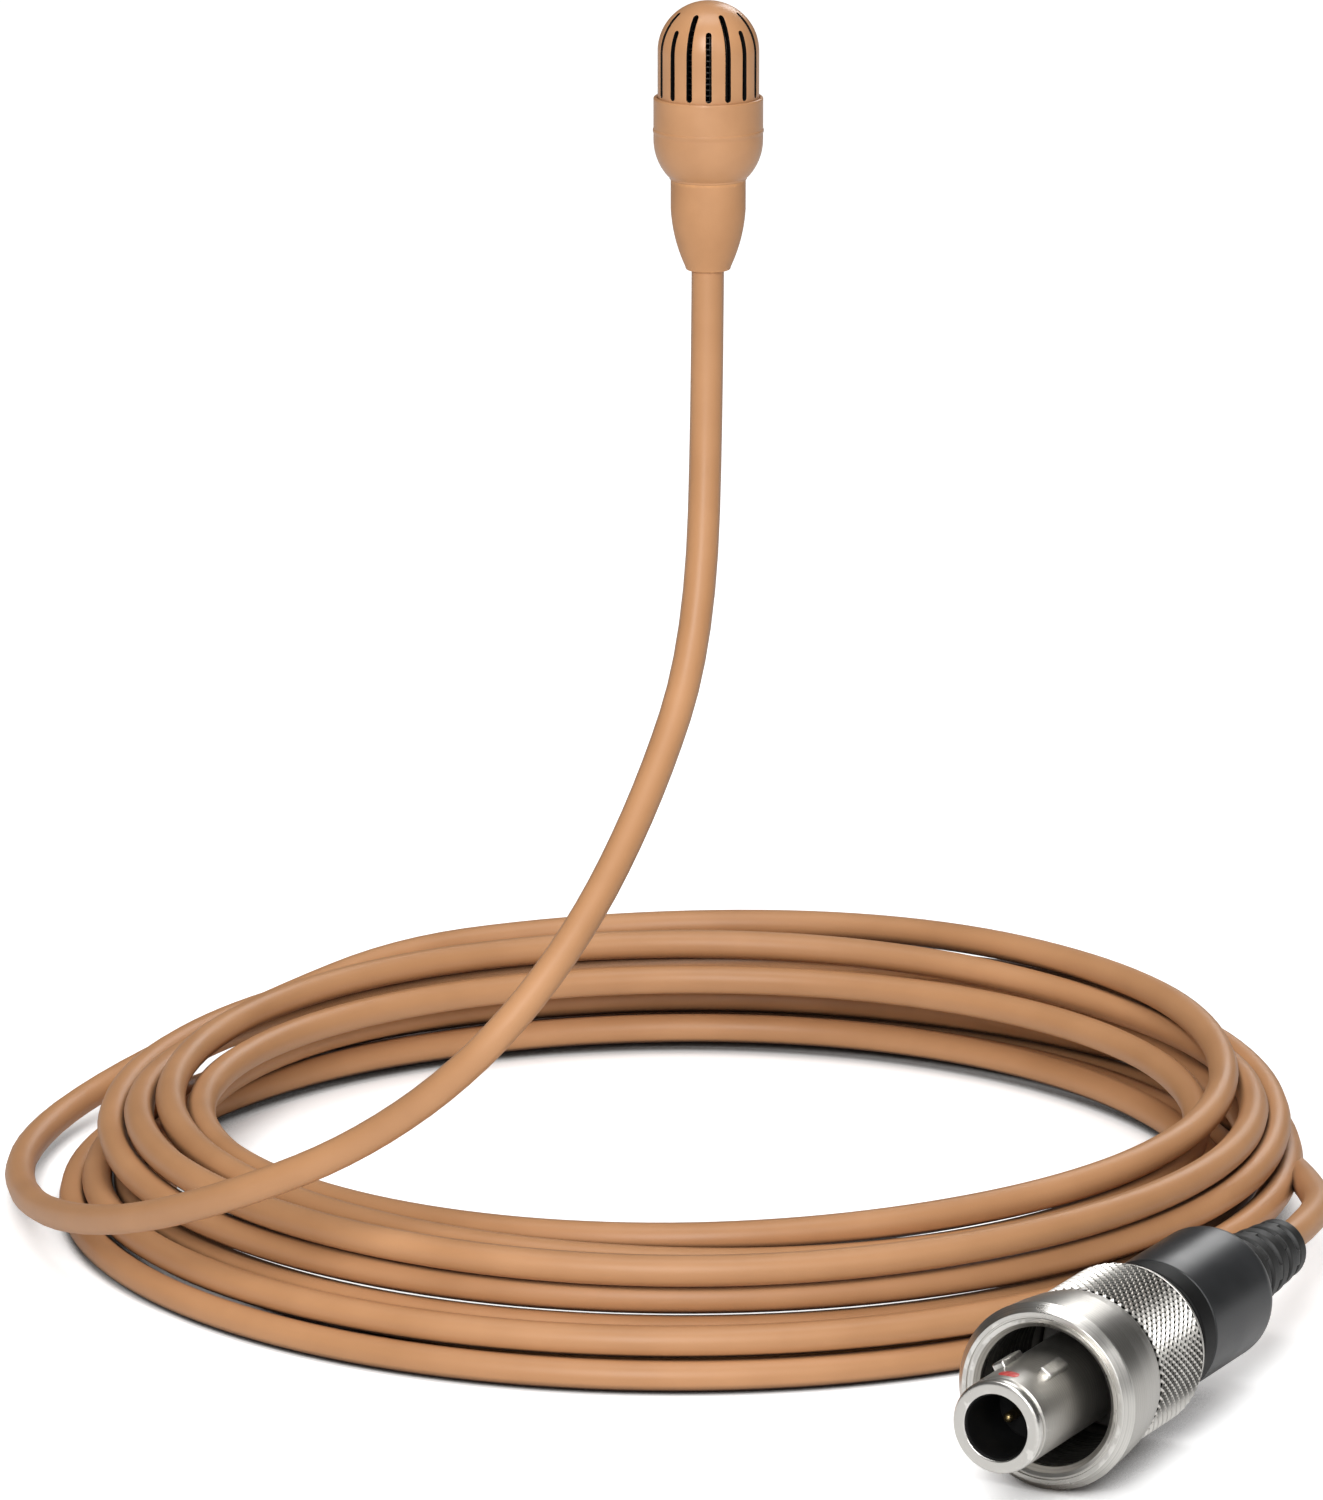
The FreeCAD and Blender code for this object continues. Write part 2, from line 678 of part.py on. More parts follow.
def tube(label, route):
    """Cord of the spreadsheet's diameter along a route."""
    path, radii = rounded_path(route)
    ahead = Vector(*route[1]) - Vector(*route[0])
    section = Part.Circle(Vector(*route[0]), ahead, size["cord_od"].number / 2).toShape()
    shape = path.makePipeShell([Part.Wire([section])], True, True)
    area = math.pi * size["cord_od"].number ** 2 / 4
    print("%s: length %.1f, volume / (section x length) %.4f, bend radii %s" % (
        label, path.Length, shape.Volume / (area * path.Length),
        " ".join("%.1f" % radius for radius in radii)))
    feature = doc.addObject("Part::Feature", label)
    feature.Shape = shape
    return keep(feature, label)


def cord(place):
    tube("free_cord", FREE_ROUTE)
    tip = place.Base
    level_run = [(x, y, tip.z) for x, y, z in PLUG_ROUTE[-2:]]
    plug_route = PLUG_ROUTE[:-2] + level_run
    tube("plug_cord", plug_route)
    entry = (Vector(*plug_route[-1]) - tip).Length
    entry_size = Size(entry, repr(entry))
    keep(disc("cord_end", size["cord_od"], entry_size, cord_stop), "cord_end", place)

    inner_r = size["coil_bore"] / 2
    outer_r = size["coil_od"] / 2
    bend = size["coil_round"]
    top = size["coil_height"]
    coil = turned("cord_coil", [
        (inner_r + bend, 0, bend), (outer_r - bend, 0), (outer_r, bend, bend),
        (outer_r, top - bend), (outer_r - bend, top, bend), (inner_r + bend, top),
        (inner_r, top - bend, bend), (inner_r, bend)])
    coil_place = FreeCAD.Placement()
    coil_place.Base = Vector(size["coil_x"].number, size["coil_y"].number,
                             -size["surface_drop"].number)
    keep(coil, "cord_coil", coil_place)


def write_parts():
    doc.recompute()
    for item in doc.Objects:
        faults = [state for state in item.State if state in ("Invalid", "Error")]
        if faults:
            raise RuntimeError("%s is %s" % (item.Label, faults))
    for piece in parts:
        if piece.Shape.isNull() or not piece.Shape.isValid():
            raise RuntimeError("%s has no valid shape" % piece.Label)
    os.makedirs("parts", exist_ok=True)
    for piece in parts:
        piece.Shape.exportStep("parts/%s.step" % piece.Label)
        print("%-16s %2d solid(s) %9.3f mm3" % (
            piece.Label, len(piece.Shape.Solids), piece.Shape.Volume))


seat_radius, sleeve_flange_top = head_shells()
cap_and_screen()
can_foot = capsule(seat_radius)
head_wiring(sleeve_flange_top, can_foot)
plug_at = plug_place()
plug_metal(plug_at)
plug_contacts(plug_at)
plug_rubber(plug_at)
cord(plug_at)
write_parts()
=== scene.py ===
import bpy
import math
from mathutils import Matrix, Vector


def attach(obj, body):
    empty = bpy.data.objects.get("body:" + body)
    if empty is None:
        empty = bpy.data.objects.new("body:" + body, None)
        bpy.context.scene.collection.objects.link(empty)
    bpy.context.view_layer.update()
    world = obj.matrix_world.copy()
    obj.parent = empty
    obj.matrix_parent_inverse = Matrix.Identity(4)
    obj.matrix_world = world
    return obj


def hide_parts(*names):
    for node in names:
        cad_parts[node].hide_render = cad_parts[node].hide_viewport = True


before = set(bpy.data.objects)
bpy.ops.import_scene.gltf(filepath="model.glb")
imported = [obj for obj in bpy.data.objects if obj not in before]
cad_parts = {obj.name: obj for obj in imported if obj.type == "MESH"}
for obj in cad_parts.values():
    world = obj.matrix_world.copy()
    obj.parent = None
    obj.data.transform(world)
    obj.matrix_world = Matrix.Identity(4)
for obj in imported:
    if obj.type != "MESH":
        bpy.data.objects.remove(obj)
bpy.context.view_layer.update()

MM = 0.001
FLOOR = -58.3               # height of the surface that the cord lies on, mm
UP = Vector((0, 0, 1))

# ---- the cord's route, mm: out of the neck, down, round in front and into the coil ----
FREE_ROUTE = [
    (0.0, 0.0, 2.4),
    (0.0, 0.0, -9.6),
    (-0.4, -3.7, -21.7),
    (-2.9, -7.7, -28.6),
    (-6.4, -12.2, -34.7),
    (-11.2, -14.7, -40.2),
    (-17.1, -10.7, -45.7),
    (-23.5, -8.3, -49.0),
    (-30.1, 0.1, -53.1),
    (-35.5, 13.1, -56.3),
    (-37.2, 25.8, -57.1),
    (-33.7, 38.0, -56.9),
    (-23.8, 45.0, -53.9),
]
# Out of the coil's right side and straight into the plug's strain relief.
PLUG_ROUTE = [
    (30.3, 26.5, -57.0),
    (31.7, 14.8, -55.3),
    (31.7, 2.9, -53.6),
    (26.0, -7.6, -53.6),
]
CORD_OD = 1.6
RELIEF_TIP_AHEAD = 5.5
COIL_CENTRE = (-0.8, 21.4)
COIL_FROM = 134.0           # degrees round the coil, where the free cord joins it
COIL_TO = 9.3               # where the cord leaves for the plug
# Each turn's distance from the coil's middle and height above the surface, mm, as it
# passes the back, the right, the front and the left.
BACK = [(32.4, 6.5), (29.2, 4.1), (31.0, 5.8), (30.9, 4.2), (32.6, 4.4), (31.0, 2.6),
        (32.6, 2.7), (31.0, 0.9), (32.6, 1.0)]
RIGHT = [(28.4, 5.8), (26.6, 5.3), (30.2, 5.6), (31.9, 5.1), (29.2, 3.8), (27.4, 3.4),
         (30.9, 3.3), (30.2, 1.2)]
FRONT = [(25.5, 5.6), (27.3, 5.2), (30.4, 4.0), (28.6, 3.2), (30.5, 2.2), (29.4, 0.9),
         (32.2, 2.1), (33.4, 0.8)]
LEFT = [(25.4, 5.2), (27.1, 5.7), (28.8, 5.6), (30.5, 4.9), (29.4, 3.5), (27.3, 3.6),
        (31.2, 2.3), (32.3, 0.9)]
STEPS = 24                  # points to a turn
JOIN_IN = (33.0, 4.4)       # distance and height where the free cord joins the turns
JOIN_OUT = (31.5, 1.3)      # and where the last turn leaves for the plug
WANDER = 0.22               # how far a turn strays in and out by itself
SWELL = 1.006               # the settled turns spread by this much
SWEEPS = 160                # rounds of pushing turns apart
SMOOTH_UNTIL = 150          # no more smoothing after this round
TURN_GAP = 1.04             # centre to centre, in cord thicknesses
SKEW_SLACK = 0.03           # less gap is asked of points that are not side by side
SHORTEST_GAP = 0.01
PUSH = 0.25                 # part of a lack of room that one push makes good
OUTERMOST = 33.4
SINK = 0.012                # one turn, the sixth from the top, sinks by this in each round
SINK_FROM = 5.0             # counted in turns from the top
SINK_TO = 6.1


def smooth_step(before, here, after, beyond, part):
    """Value part of the way from here to after, on a curve through all four."""
    rise = (after - before) / 2
    fall = (beyond - here) / 2
    bend = 3 * (after - here) - 2 * rise - fall
    twist = 2 * (here - after) + rise + fall
    return here + part * (rise + part * (bend + part * twist))


def coil_points():
    """The coil's turns as points of the cord's own line, after settle_turns."""
    stops = [(COIL_FROM,) + JOIN_IN]
    for turn in range(len(BACK)):
        down = 360.0 * turn
        for angle, side in ((90, BACK), (0, RIGHT), (-90, FRONT), (-180, LEFT)):
            if turn < len(side):
                stops.append((angle - down,) + side[turn])
    stops.append((COIL_TO - 360.0 * (len(BACK) - 1),) + JOIN_OUT)
    count = round((stops[0][0] - stops[-1][0]) * STEPS / 360)
    step = (stops[0][0] - stops[-1][0]) / count
    angles = [stops[0][0] - step * index for index in range(count + 1)]
    reach = []
    rise = []
    leg = 0
    for angle in angles:
        while leg < len(stops) - 2 and angle < stops[leg + 1][0]:
            leg += 1
        near = [stops[min(max(leg + side, 0), len(stops) - 1)] for side in (-1, 0, 1, 2)]
        part = (near[1][0] - angle) / (near[1][0] - near[2][0])
        part = min(max(part, 0.0), 1.0)
        wander = WANDER * math.sin(math.radians(angle) * 1.37)
        reach.append(smooth_step(*[stop[1] for stop in near], part) + wander)
        rise.append(smooth_step(*[stop[2] for stop in near], part))
    settle_turns(reach, rise, step)
    points = []
    for angle, away, high in zip(angles, reach, rise):
        way = math.radians(angle)
        points.append((COIL_CENTRE[0] + away * SWELL * math.cos(way),
                       COIL_CENTRE[1] + away * SWELL * math.sin(way), FLOOR + high))
    return points


def settle_turns(reach, rise, step):
    """Pushes turns that cut into each other apart, and smooths what that bends. It doesn't
    drop turns onto each other, and the runs to the head and to the plug take no part in it."""
    count = len(reach)
    apart = CORD_OD * TURN_GAP
    least = CORD_OD / 2
    pins = {0: (reach[0], rise[0]), count - 1: (reach[-1], rise[-1])}
    turn = round(360 / step)
    for sweep in range(SWEEPS):
        for low in range(count):
            for lap in range(1, len(BACK)):
                for skew in (-1, 0, 1):
                    high = low + turn * lap + skew
                    if high >= count:
                        continue
                    across = reach[high] - reach[low]
                    above = rise[high] - rise[low]
                    gap = math.hypot(across, above)
                    need = apart - SKEW_SLACK * abs(skew)
                    if gap >= need:
                        continue
                    gap = max(gap, SHORTEST_GAP)
                    push = (need - gap) * PUSH / gap
                    reach[low] -= across * push
                    reach[high] += across * push
                    rise[low] -= above * push
                    rise[high] += above * push
        if sweep % 4 == 0 and sweep < SMOOTH_UNTIL:
            for line in (reach, rise):
                old = list(line)
                for index in range(2, count - 2):
                    line[index] = old[index] * 0.7 + (old[index - 1] + old[index + 1]) * 0.15
        for index in range(count):
            sink = SINK if turn * SINK_FROM < index < turn * SINK_TO else 0.0
            rise[index] = max(rise[index] - sink, least)
            reach[index] = min(reach[index], OUTERMOST)
        for index, (away, high) in pins.items():
            reach[index] = away
            rise[index] = high


def lay_cord(material):
    route = FREE_ROUTE[:-1] + coil_points() + PLUG_ROUTE[1:]
    line = bpy.data.curves.new("cord", "CURVE")
    line.dimensions = "3D"
    line.resolution_u = 6
    line.bevel_depth = CORD_OD / 2 * MM
    line.bevel_resolution = 3
    line.use_fill_caps = True
    spline = line.splines.new("NURBS")
    spline.points.add(len(route) - 1)
    for point, place in zip(spline.points, route):
        point.co = (place[0] * MM, place[1] * MM, place[2] * MM, 1)
    spline.order_u = 3
    spline.use_endpoint_u = True
    line.materials.append(material)
    cord = bpy.data.objects.new("cord", line)
    bpy.context.scene.collection.objects.link(cord)
    bare = line.copy()
    bare.bevel_depth = 0
    helper = bpy.data.objects.new("cord_line", bare)
    bpy.context.scene.collection.objects.link(helper)
    bpy.context.view_layer.update()
    mesh = bpy.data.meshes.new_from_object(helper.evaluated_get(
        bpy.context.evaluated_depsgraph_get()))
    length = sum((mesh.vertices[edge.vertices[0]].co - mesh.vertices[edge.vertices[1]].co).length
                 for edge in mesh.edges)
    bpy.data.objects.remove(helper)
    bpy.data.meshes.remove(mesh)
    bpy.data.curves.remove(bare)
    return cord, length


# ---- finishes ----
def group_start(name, inputs, outputs):
    """An empty node group with number inputs and the named outputs."""
    group = bpy.data.node_groups.new(name, "ShaderNodeTree")
    for label, value in inputs:
        socket = group.interface.new_socket(label, in_out="INPUT", socket_type="NodeSocketFloat")
        socket.default_value = value
    for label in outputs:
        group.interface.new_socket(label, in_out="OUTPUT", socket_type="NodeSocketFloat")
    return group, group.nodes.new("NodeGroupInput"), group.nodes.new("NodeGroupOutput")


def wire(tree, source, target):
    tree.links.new(source, target)


def sum_of(tree, kind, first, second):
    """A Math node of the given kind; first and second are sockets or numbers."""
    node = tree.nodes.new("ShaderNodeMath")
    node.operation = kind
    for socket, value in zip(node.inputs, (first, second)):
        if isinstance(value, (int, float)):
            socket.default_value = value
        elif value is not None:
            wire(tree, value, socket)
    return node.outputs[0]


def noise(tree, place, scale, detail=2.0, rough=0.5):
    node = tree.nodes.new("ShaderNodeTexNoise")
    node.inputs["Detail"].default_value = detail
    node.inputs["Roughness"].default_value = rough
    if isinstance(scale, (int, float)):
        node.inputs["Scale"].default_value = scale
    else:
        wire(tree, scale, node.inputs["Scale"])
    if place is not None:
        wire(tree, place, node.inputs["Vector"])
    return node.outputs["Fac"]


def remap(tree, value, low, high, out_low=0.0, out_high=1.0):
    node = tree.nodes.new("ShaderNodeMapRange")
    wire(tree, value, node.inputs["Value"])
    for label, number in (("From Min", low), ("From Max", high),
                          ("To Min", out_low), ("To Max", out_high)):
        node.inputs[label].default_value = number
    return node.outputs["Result"]


def make_moulded_grain():
    """Cloudy colour change and a fine skin of pimples, for plastic, rubber and lacquer."""
    group, given, made = group_start("moulded_grain", [("Cloud", 400.0), ("Grain", 9000.0)],
                                     ["Mottle", "Skin"])
    place = group.nodes.new("ShaderNodeTexCoord").outputs["Object"]
    cloud = noise(group, place, given.outputs["Cloud"], 3.0)
    skin = noise(group, place, given.outputs["Grain"], 2.0, 0.6)
    wire(group, remap(group, cloud, 0.3, 0.7), made.inputs["Mottle"])
    wire(group, skin, made.inputs["Skin"])
    return group


def make_wear_and_hollow_shade():
    """Where corners are rubbed: high on outer corners, broken up by a fine noise. Hollow is high
    in inner corners, the mask for painted shade.
    """
    group, given, made = group_start("wear_and_hollow_shade", [("Reach", 0.06), ("Breakup", 5000.0)],
                                     ["Rubbed", "Hollow"])
    place = group.nodes.new("ShaderNodeTexCoord").outputs["Object"]
    sharp = group.nodes.new("ShaderNodeNewGeometry").outputs["Pointiness"]
    broken = remap(group, noise(group, place, given.outputs["Breakup"], 3.0), 0.25, 0.75, 0.4, 1.2)
    outward = sum_of(group, "SUBTRACT", sharp, 0.5)
    rubbed = sum_of(group, "DIVIDE", outward, given.outputs["Reach"])
    wire(group, remap(group, sum_of(group, "MULTIPLY", rubbed, broken), 0.15, 1.0),
         made.inputs["Rubbed"])
    inward = sum_of(group, "DIVIDE", sum_of(group, "SUBTRACT", 0.5, sharp), given.outputs["Reach"])
    wire(group, remap(group, inward, 0.1, 1.0), made.inputs["Hollow"])
    return group


def make_turned_lines():
    """Fine rings left by the lathe, across the plug's long axis."""
    group, given, made = group_start("turned_lines", [("Lines", 9000.0)], ["Ring", "Streak"])
    place = group.nodes.new("ShaderNodeTexCoord").outputs["Object"]
    along = group.nodes.new("ShaderNodeVectorMath")
    along.operation = "DOT_PRODUCT"
    along.inputs[1].default_value = AHEAD
    wire(group, place, along.inputs[0])
    for label, stretch in (("Ring", 1.0), ("Streak", 0.23)):
        line = group.nodes.new("ShaderNodeTexNoise")
        line.noise_dimensions = "1D"
        line.inputs["Detail"].default_value = 3.0
        wire(group, sum_of(group, "MULTIPLY", along.outputs["Value"],
                           sum_of(group, "MULTIPLY", given.outputs["Lines"], stretch)),
             line.inputs["W"])
        wire(group, line.outputs["Fac"], made.inputs[label])
    return group


def make_plug_radius():
    """How far out from the plug's axis a point is: 0 at Inner, 1 at Outer, in mm."""
    group, given, made = group_start("plug_radius", [("Inner", 4.0), ("Outer", 4.2)], ["Height"])
    place = group.nodes.new("ShaderNodeTexCoord").outputs["Object"]
    out = group.nodes.new("ShaderNodeVectorMath")
    out.operation = "SUBTRACT"
    wire(group, place, out.inputs[0])
    out.inputs[1].default_value = PLUG_TIP * MM
    beside = group.nodes.new("ShaderNodeVectorMath")
    beside.operation = "CROSS_PRODUCT"
    wire(group, out.outputs["Vector"], beside.inputs[0])
    beside.inputs[1].default_value = AHEAD
    size = group.nodes.new("ShaderNodeVectorMath")
    size.operation = "LENGTH"
    wire(group, beside.outputs["Vector"], size.inputs[0])
    away = sum_of(group, "MULTIPLY", size.outputs["Value"], 1 / MM)
    above = sum_of(group, "SUBTRACT", away, given.outputs["Inner"])
    span = sum_of(group, "SUBTRACT", given.outputs["Outer"], given.outputs["Inner"])
    wire(group, sum_of(group, "DIVIDE", above, span), made.inputs["Height"])
    return group


def make_gap_shade():
    """How open a place is: 0 where something stands within Reach metres, 1 in the open."""
    group, given, made = group_start("gap_shade", [("Reach", 0.002), ("Low", 0.12), ("High", 0.5)],
                                     ["Open"])
    hidden = group.nodes.new("ShaderNodeAmbientOcclusion")
    hidden.samples = 8
    wire(group, given.outputs["Reach"], hidden.inputs["Distance"])
    span = group.nodes.new("ShaderNodeMapRange")
    wire(group, hidden.outputs["AO"], span.inputs["Value"])
    wire(group, given.outputs["Low"], span.inputs["From Min"])
    wire(group, given.outputs["High"], span.inputs["From Max"])
    wire(group, span.outputs["Result"], made.inputs["Open"])
    return group


def placed(tree, group, **values):
    node = tree.nodes.new("ShaderNodeGroup")
    node.node_tree = group
    for label, value in values.items():
        node.inputs[label].default_value = value
    return node.outputs


def blend_colour(tree, mask, first, second):
    node = tree.nodes.new("ShaderNodeMix")
    node.data_type = "RGBA"
    wire(tree, mask, node.inputs["Factor"])
    for socket, value in ((node.inputs[6], first), (node.inputs[7], second)):
        if isinstance(value, tuple):
            socket.default_value = value + (1,)
        else:
            wire(tree, value, socket)
    return node.outputs[2]


def finish(name, dark, light, rough, metallic=0.0, coat=0.0, cloud=400.0, grain=9000.0,
           depth=0.004, worn=None, reach=0.06, hollow_shading=None, lines=0.0, spec=0.5):
    """A finish from two tones, a roughness span, surface grain, rubbed edges, painted shade in
    hollows and lathe lines. depth is the grain's height in mm."""
    made = bpy.data.materials.new(name)
    made.use_nodes = True
    tree = made.node_tree
    shader = tree.nodes["Principled BSDF"]
    shader.inputs["Metallic"].default_value = metallic
    shader.inputs["Coat Weight"].default_value = coat
    shader.inputs["Coat Roughness"].default_value = 0.25
    shader.inputs["Specular IOR Level"].default_value = spec
    skin = placed(tree, moulded_grain, Cloud=cloud, Grain=grain)
    colour = blend_colour(tree, skin["Mottle"], dark, light)
    height = skin["Skin"]
    if lines:
        rings = placed(tree, turned_lines, Lines=lines)
        height = sum_of(tree, "ADD", sum_of(tree, "MULTIPLY", rings["Ring"], 2.0), height)
        streak = remap(tree, rings["Streak"], 0.35, 0.65)
        colour = blend_colour(tree, streak, tuple(part * 0.86 for part in dark), colour)
    edges = placed(tree, wear_and_hollow_shade, Reach=reach)
    # Painted shade: inner corners take the darker hollow colour.
    if hollow_shading:
        colour = blend_colour(tree, edges["Hollow"], colour, hollow_shading)
    if worn:
        colour = blend_colour(tree, edges["Rubbed"], colour, worn)
    wire(tree, colour, shader.inputs["Base Color"])
    wire(tree, remap(tree, skin["Mottle"], 0.0, 1.0, rough[0], rough[1]),
         shader.inputs["Roughness"])
    bump = tree.nodes.new("ShaderNodeBump")
    bump.inputs["Strength"].default_value = 1.0
    bump.inputs["Distance"].default_value = depth * MM
    wire(tree, height, bump.inputs["Height"])
    wire(tree, bump.outputs["Normal"], shader.inputs["Normal"])
    return made


def pit_shade_by_height(made, inner, outer, low, high, shade_colour):
    """Painted shade in the knurl's pits: darker where the metal lies low on the plug's radius."""
    tree = made.node_tree
    shader = tree.nodes["Principled BSDF"]
    height = placed(tree, plug_radius, Inner=inner, Outer=outer)["Height"]
    mask = remap(tree, height, low, high)
    unshaded = shader.inputs["Base Color"].links[0].from_socket
    wire(tree, blend_colour(tree, mask, shade_colour, unshaded), shader.inputs["Base Color"])
    return made


def shaded_in_gaps(made, reach, low, high, shade_colour):
    """Painted shade: darker where something stands close by, in gaps between turns and under them.
    """
    tree = made.node_tree
    shader = tree.nodes["Principled BSDF"]
    mask = placed(tree, gap_shade, Reach=reach * MM, Low=low, High=high)["Open"]
    unshaded = shader.inputs["Base Color"].links[0].from_socket
    wire(tree, blend_colour(tree, mask, shade_colour, unshaded), shader.inputs["Base Color"])
    return mask


WIRES_ROUND = 48.0          # wires of the screen round the head
WIRES_UP = 22000.0          # waves up the head, radians to a metre


def make_mesh_cloth():
    """Woven wire cloth on the head's axis: wires round and along it, near-black as painted shade
    behind the slots, darkest between them.
    """
    made = bpy.data.materials.new("woven_screen")
    made.use_nodes = True
    tree = made.node_tree
    shader = tree.nodes["Principled BSDF"]
    shader.inputs["Metallic"].default_value = 1.0
    place = tree.nodes.new("ShaderNodeTexCoord").outputs["Object"]
    parts = tree.nodes.new("ShaderNodeSeparateXYZ")
    wire(tree, place, parts.inputs[0])
    turn = sum_of(tree, "ARCTAN2", parts.outputs["Y"], parts.outputs["X"])
    upright = sum_of(tree, "SINE", sum_of(tree, "MULTIPLY", turn, WIRES_ROUND), None)
    level = sum_of(tree, "SINE",
                   sum_of(tree, "MULTIPLY", parts.outputs["Z"], WIRES_UP), None)
    wires = sum_of(tree, "MAXIMUM", upright, level)
    mask = remap(tree, wires, 0.55, 0.9)
    # Wires and gaps both near-black: painted shade behind the slots.
    colour = blend_colour(tree, mask, (0.002, 0.002, 0.002), (0.030, 0.027, 0.024))
    wire(tree, colour, shader.inputs["Base Color"])
    wire(tree, remap(tree, mask, 0.0, 1.0, 0.7, 0.28), shader.inputs["Roughness"])
    bump = tree.nodes.new("ShaderNodeBump")
    bump.inputs["Distance"].default_value = 0.04 * MM
    wire(tree, wires, bump.inputs["Height"])
    wire(tree, bump.outputs["Normal"], shader.inputs["Normal"])
    return made


last_run = [Vector(place) for place in PLUG_ROUTE[-2:]]
AHEAD = (last_run[1] - last_run[0]).normalized()
PLUG_TIP = last_run[0] + AHEAD * RELIEF_TIP_AHEAD
moulded_grain = make_moulded_grain()
wear_and_hollow_shade = make_wear_and_hollow_shade()
turned_lines = make_turned_lines()
plug_radius = make_plug_radius()
gap_shade = make_gap_shade()

TAN_DARK = (0.47, 0.236, 0.108)
TAN_LIGHT = (0.54, 0.278, 0.132)
skin_lacquer = finish("skin_lacquer", TAN_DARK, TAN_LIGHT, (0.34, 0.42), coat=0.22,
                      grain=11000.0, depth=0.003, spec=0.3)
cap_lacquer = finish("cap_lacquer", TAN_DARK, TAN_LIGHT, (0.34, 0.42), coat=0.22,
                     grain=11000.0, depth=0.003, spec=0.3)
# The neck sleeve's hollows get painted shade.
skin_rubber = finish("skin_rubber", TAN_DARK, TAN_LIGHT, (0.42, 0.52), grain=8000.0, depth=0.004,
                     worn=(0.62, 0.32, 0.14), hollow_shading=(0.40, 0.17, 0.06), spec=0.25)
cord_jacket = finish("cord_jacket", TAN_DARK, TAN_LIGHT, (0.42, 0.50), cloud=180.0,
                     grain=7000.0, depth=0.005, spec=0.35)
# Painted shade between and under the coil's turns.
shaded_in_gaps(cord_jacket, 1.6, 0.12, 0.50, (0.045, 0.020, 0.012))
satin_nickel = finish("satin_nickel", (0.56, 0.54, 0.505), (0.64, 0.62, 0.58), (0.32, 0.40), 1.0,
                      worn=(0.80, 0.78, 0.74), lines=14000.0, depth=0.0012, grain=20000.0)
bright_nickel = finish("bright_nickel", (0.72, 0.70, 0.66), (0.80, 0.78, 0.74), (0.26, 0.34), 1.0,
                       worn=(0.88, 0.86, 0.82), lines=11000.0, depth=0.0006, grain=20000.0)
knurled_nickel = finish("knurled_nickel", (0.68, 0.66, 0.62), (0.78, 0.76, 0.72), (0.28, 0.38),
                        1.0, worn=(0.90, 0.88, 0.85), reach=0.10, depth=0.001, grain=20000.0)
# Painted shade: the knurl's pits go near-black.
pit_shade_by_height(knurled_nickel, 4.04, 4.20, 0.38, 0.62, (0.008, 0.008, 0.007))
shaded_nickel = finish("shaded_nickel", (0.16, 0.155, 0.145), (0.22, 0.215, 0.20), (0.35, 0.45),
                       1.0, worn=(0.5, 0.49, 0.46), lines=12000.0, depth=0.001)
black_satin = finish("black_satin", (0.016, 0.017, 0.018), (0.026, 0.027, 0.029), (0.30, 0.40),
                     grain=12000.0, depth=0.004, worn=(0.035, 0.035, 0.036), reach=0.06)
black_rubber = finish("black_rubber", (0.012, 0.012, 0.012), (0.022, 0.022, 0.021),
                      (0.48, 0.60), grain=9000.0, depth=0.006, worn=(0.06, 0.06, 0.058),
                      reach=0.12)
# Near-black: the pin insulator's own colour, and painted shade in the cap's slots, the bore, the
# gap ring and the boot's front.
black_insert_and_shade = finish("black_insert_and_shade", (0.003, 0.003, 0.003), (0.005, 0.005, 0.005),
                      (0.5, 0.6), grain=15000.0, depth=0.002, spec=0.25)
red_paint = finish("red_paint", (0.50, 0.018, 0.016), (0.60, 0.03, 0.025), (0.3, 0.4), coat=0.3,
                   grain=9000.0, depth=0.003, worn=(0.65, 0.12, 0.10))
# Gold darkened to near-brown: painted shade deep in the bore.
shaded_gold_pin = finish("shaded_gold_pin", (0.16, 0.11, 0.05), (0.22, 0.15, 0.07), (0.3, 0.38), 1.0,
                  worn=(0.60, 0.46, 0.22), lines=9000.0, depth=0.0008)
# The capsule's hollows get painted shade.
capsule_steel = finish("capsule_steel", (0.48, 0.48, 0.47), (0.56, 0.56, 0.55), (0.25, 0.35),
                       1.0, worn=(0.8, 0.8, 0.78), depth=0.0015, hollow_shading=(0.2, 0.2, 0.19))
turned_brass = finish("turned_brass", (0.62, 0.42, 0.15), (0.72, 0.50, 0.20), (0.25, 0.35), 1.0,
                      worn=(0.88, 0.70, 0.36), depth=0.0015)
capsule_film = finish("capsule_film", (0.58, 0.50, 0.36), (0.66, 0.58, 0.44), (0.12, 0.2), 0.85,
                      cloud=900.0, depth=0.001)
white_plastic = finish("white_plastic", (0.60, 0.58, 0.52), (0.70, 0.68, 0.62), (0.4, 0.5),
                       grain=9000.0, depth=0.003)
green_board = finish("green_board", (0.02, 0.11, 0.05), (0.03, 0.16, 0.07), (0.3, 0.4),
                     coat=0.4, cloud=1800.0, depth=0.003, worn=(0.20, 0.26, 0.12))
black_epoxy = finish("black_epoxy", (0.012, 0.012, 0.013), (0.03, 0.03, 0.03), (0.5, 0.62),
                     grain=14000.0, depth=0.004)
wire_copper = finish("wire_copper", (0.62, 0.26, 0.12), (0.74, 0.34, 0.18), (0.25, 0.38), 1.0,
                     cloud=2500.0, depth=0.002)
spring_steel = finish("spring_steel", (0.30, 0.30, 0.30), (0.40, 0.40, 0.39), (0.22, 0.32), 1.0,
                      worn=(0.7, 0.7, 0.68), lines=8000.0, depth=0.001)
woven_screen = make_mesh_cloth()


# ---- modelling ----
def nothing_selected():
    if bpy.context.object and bpy.context.object.mode != "OBJECT":
        bpy.ops.object.mode_set(mode="OBJECT")
    bpy.ops.object.select_all(action="DESELECT")


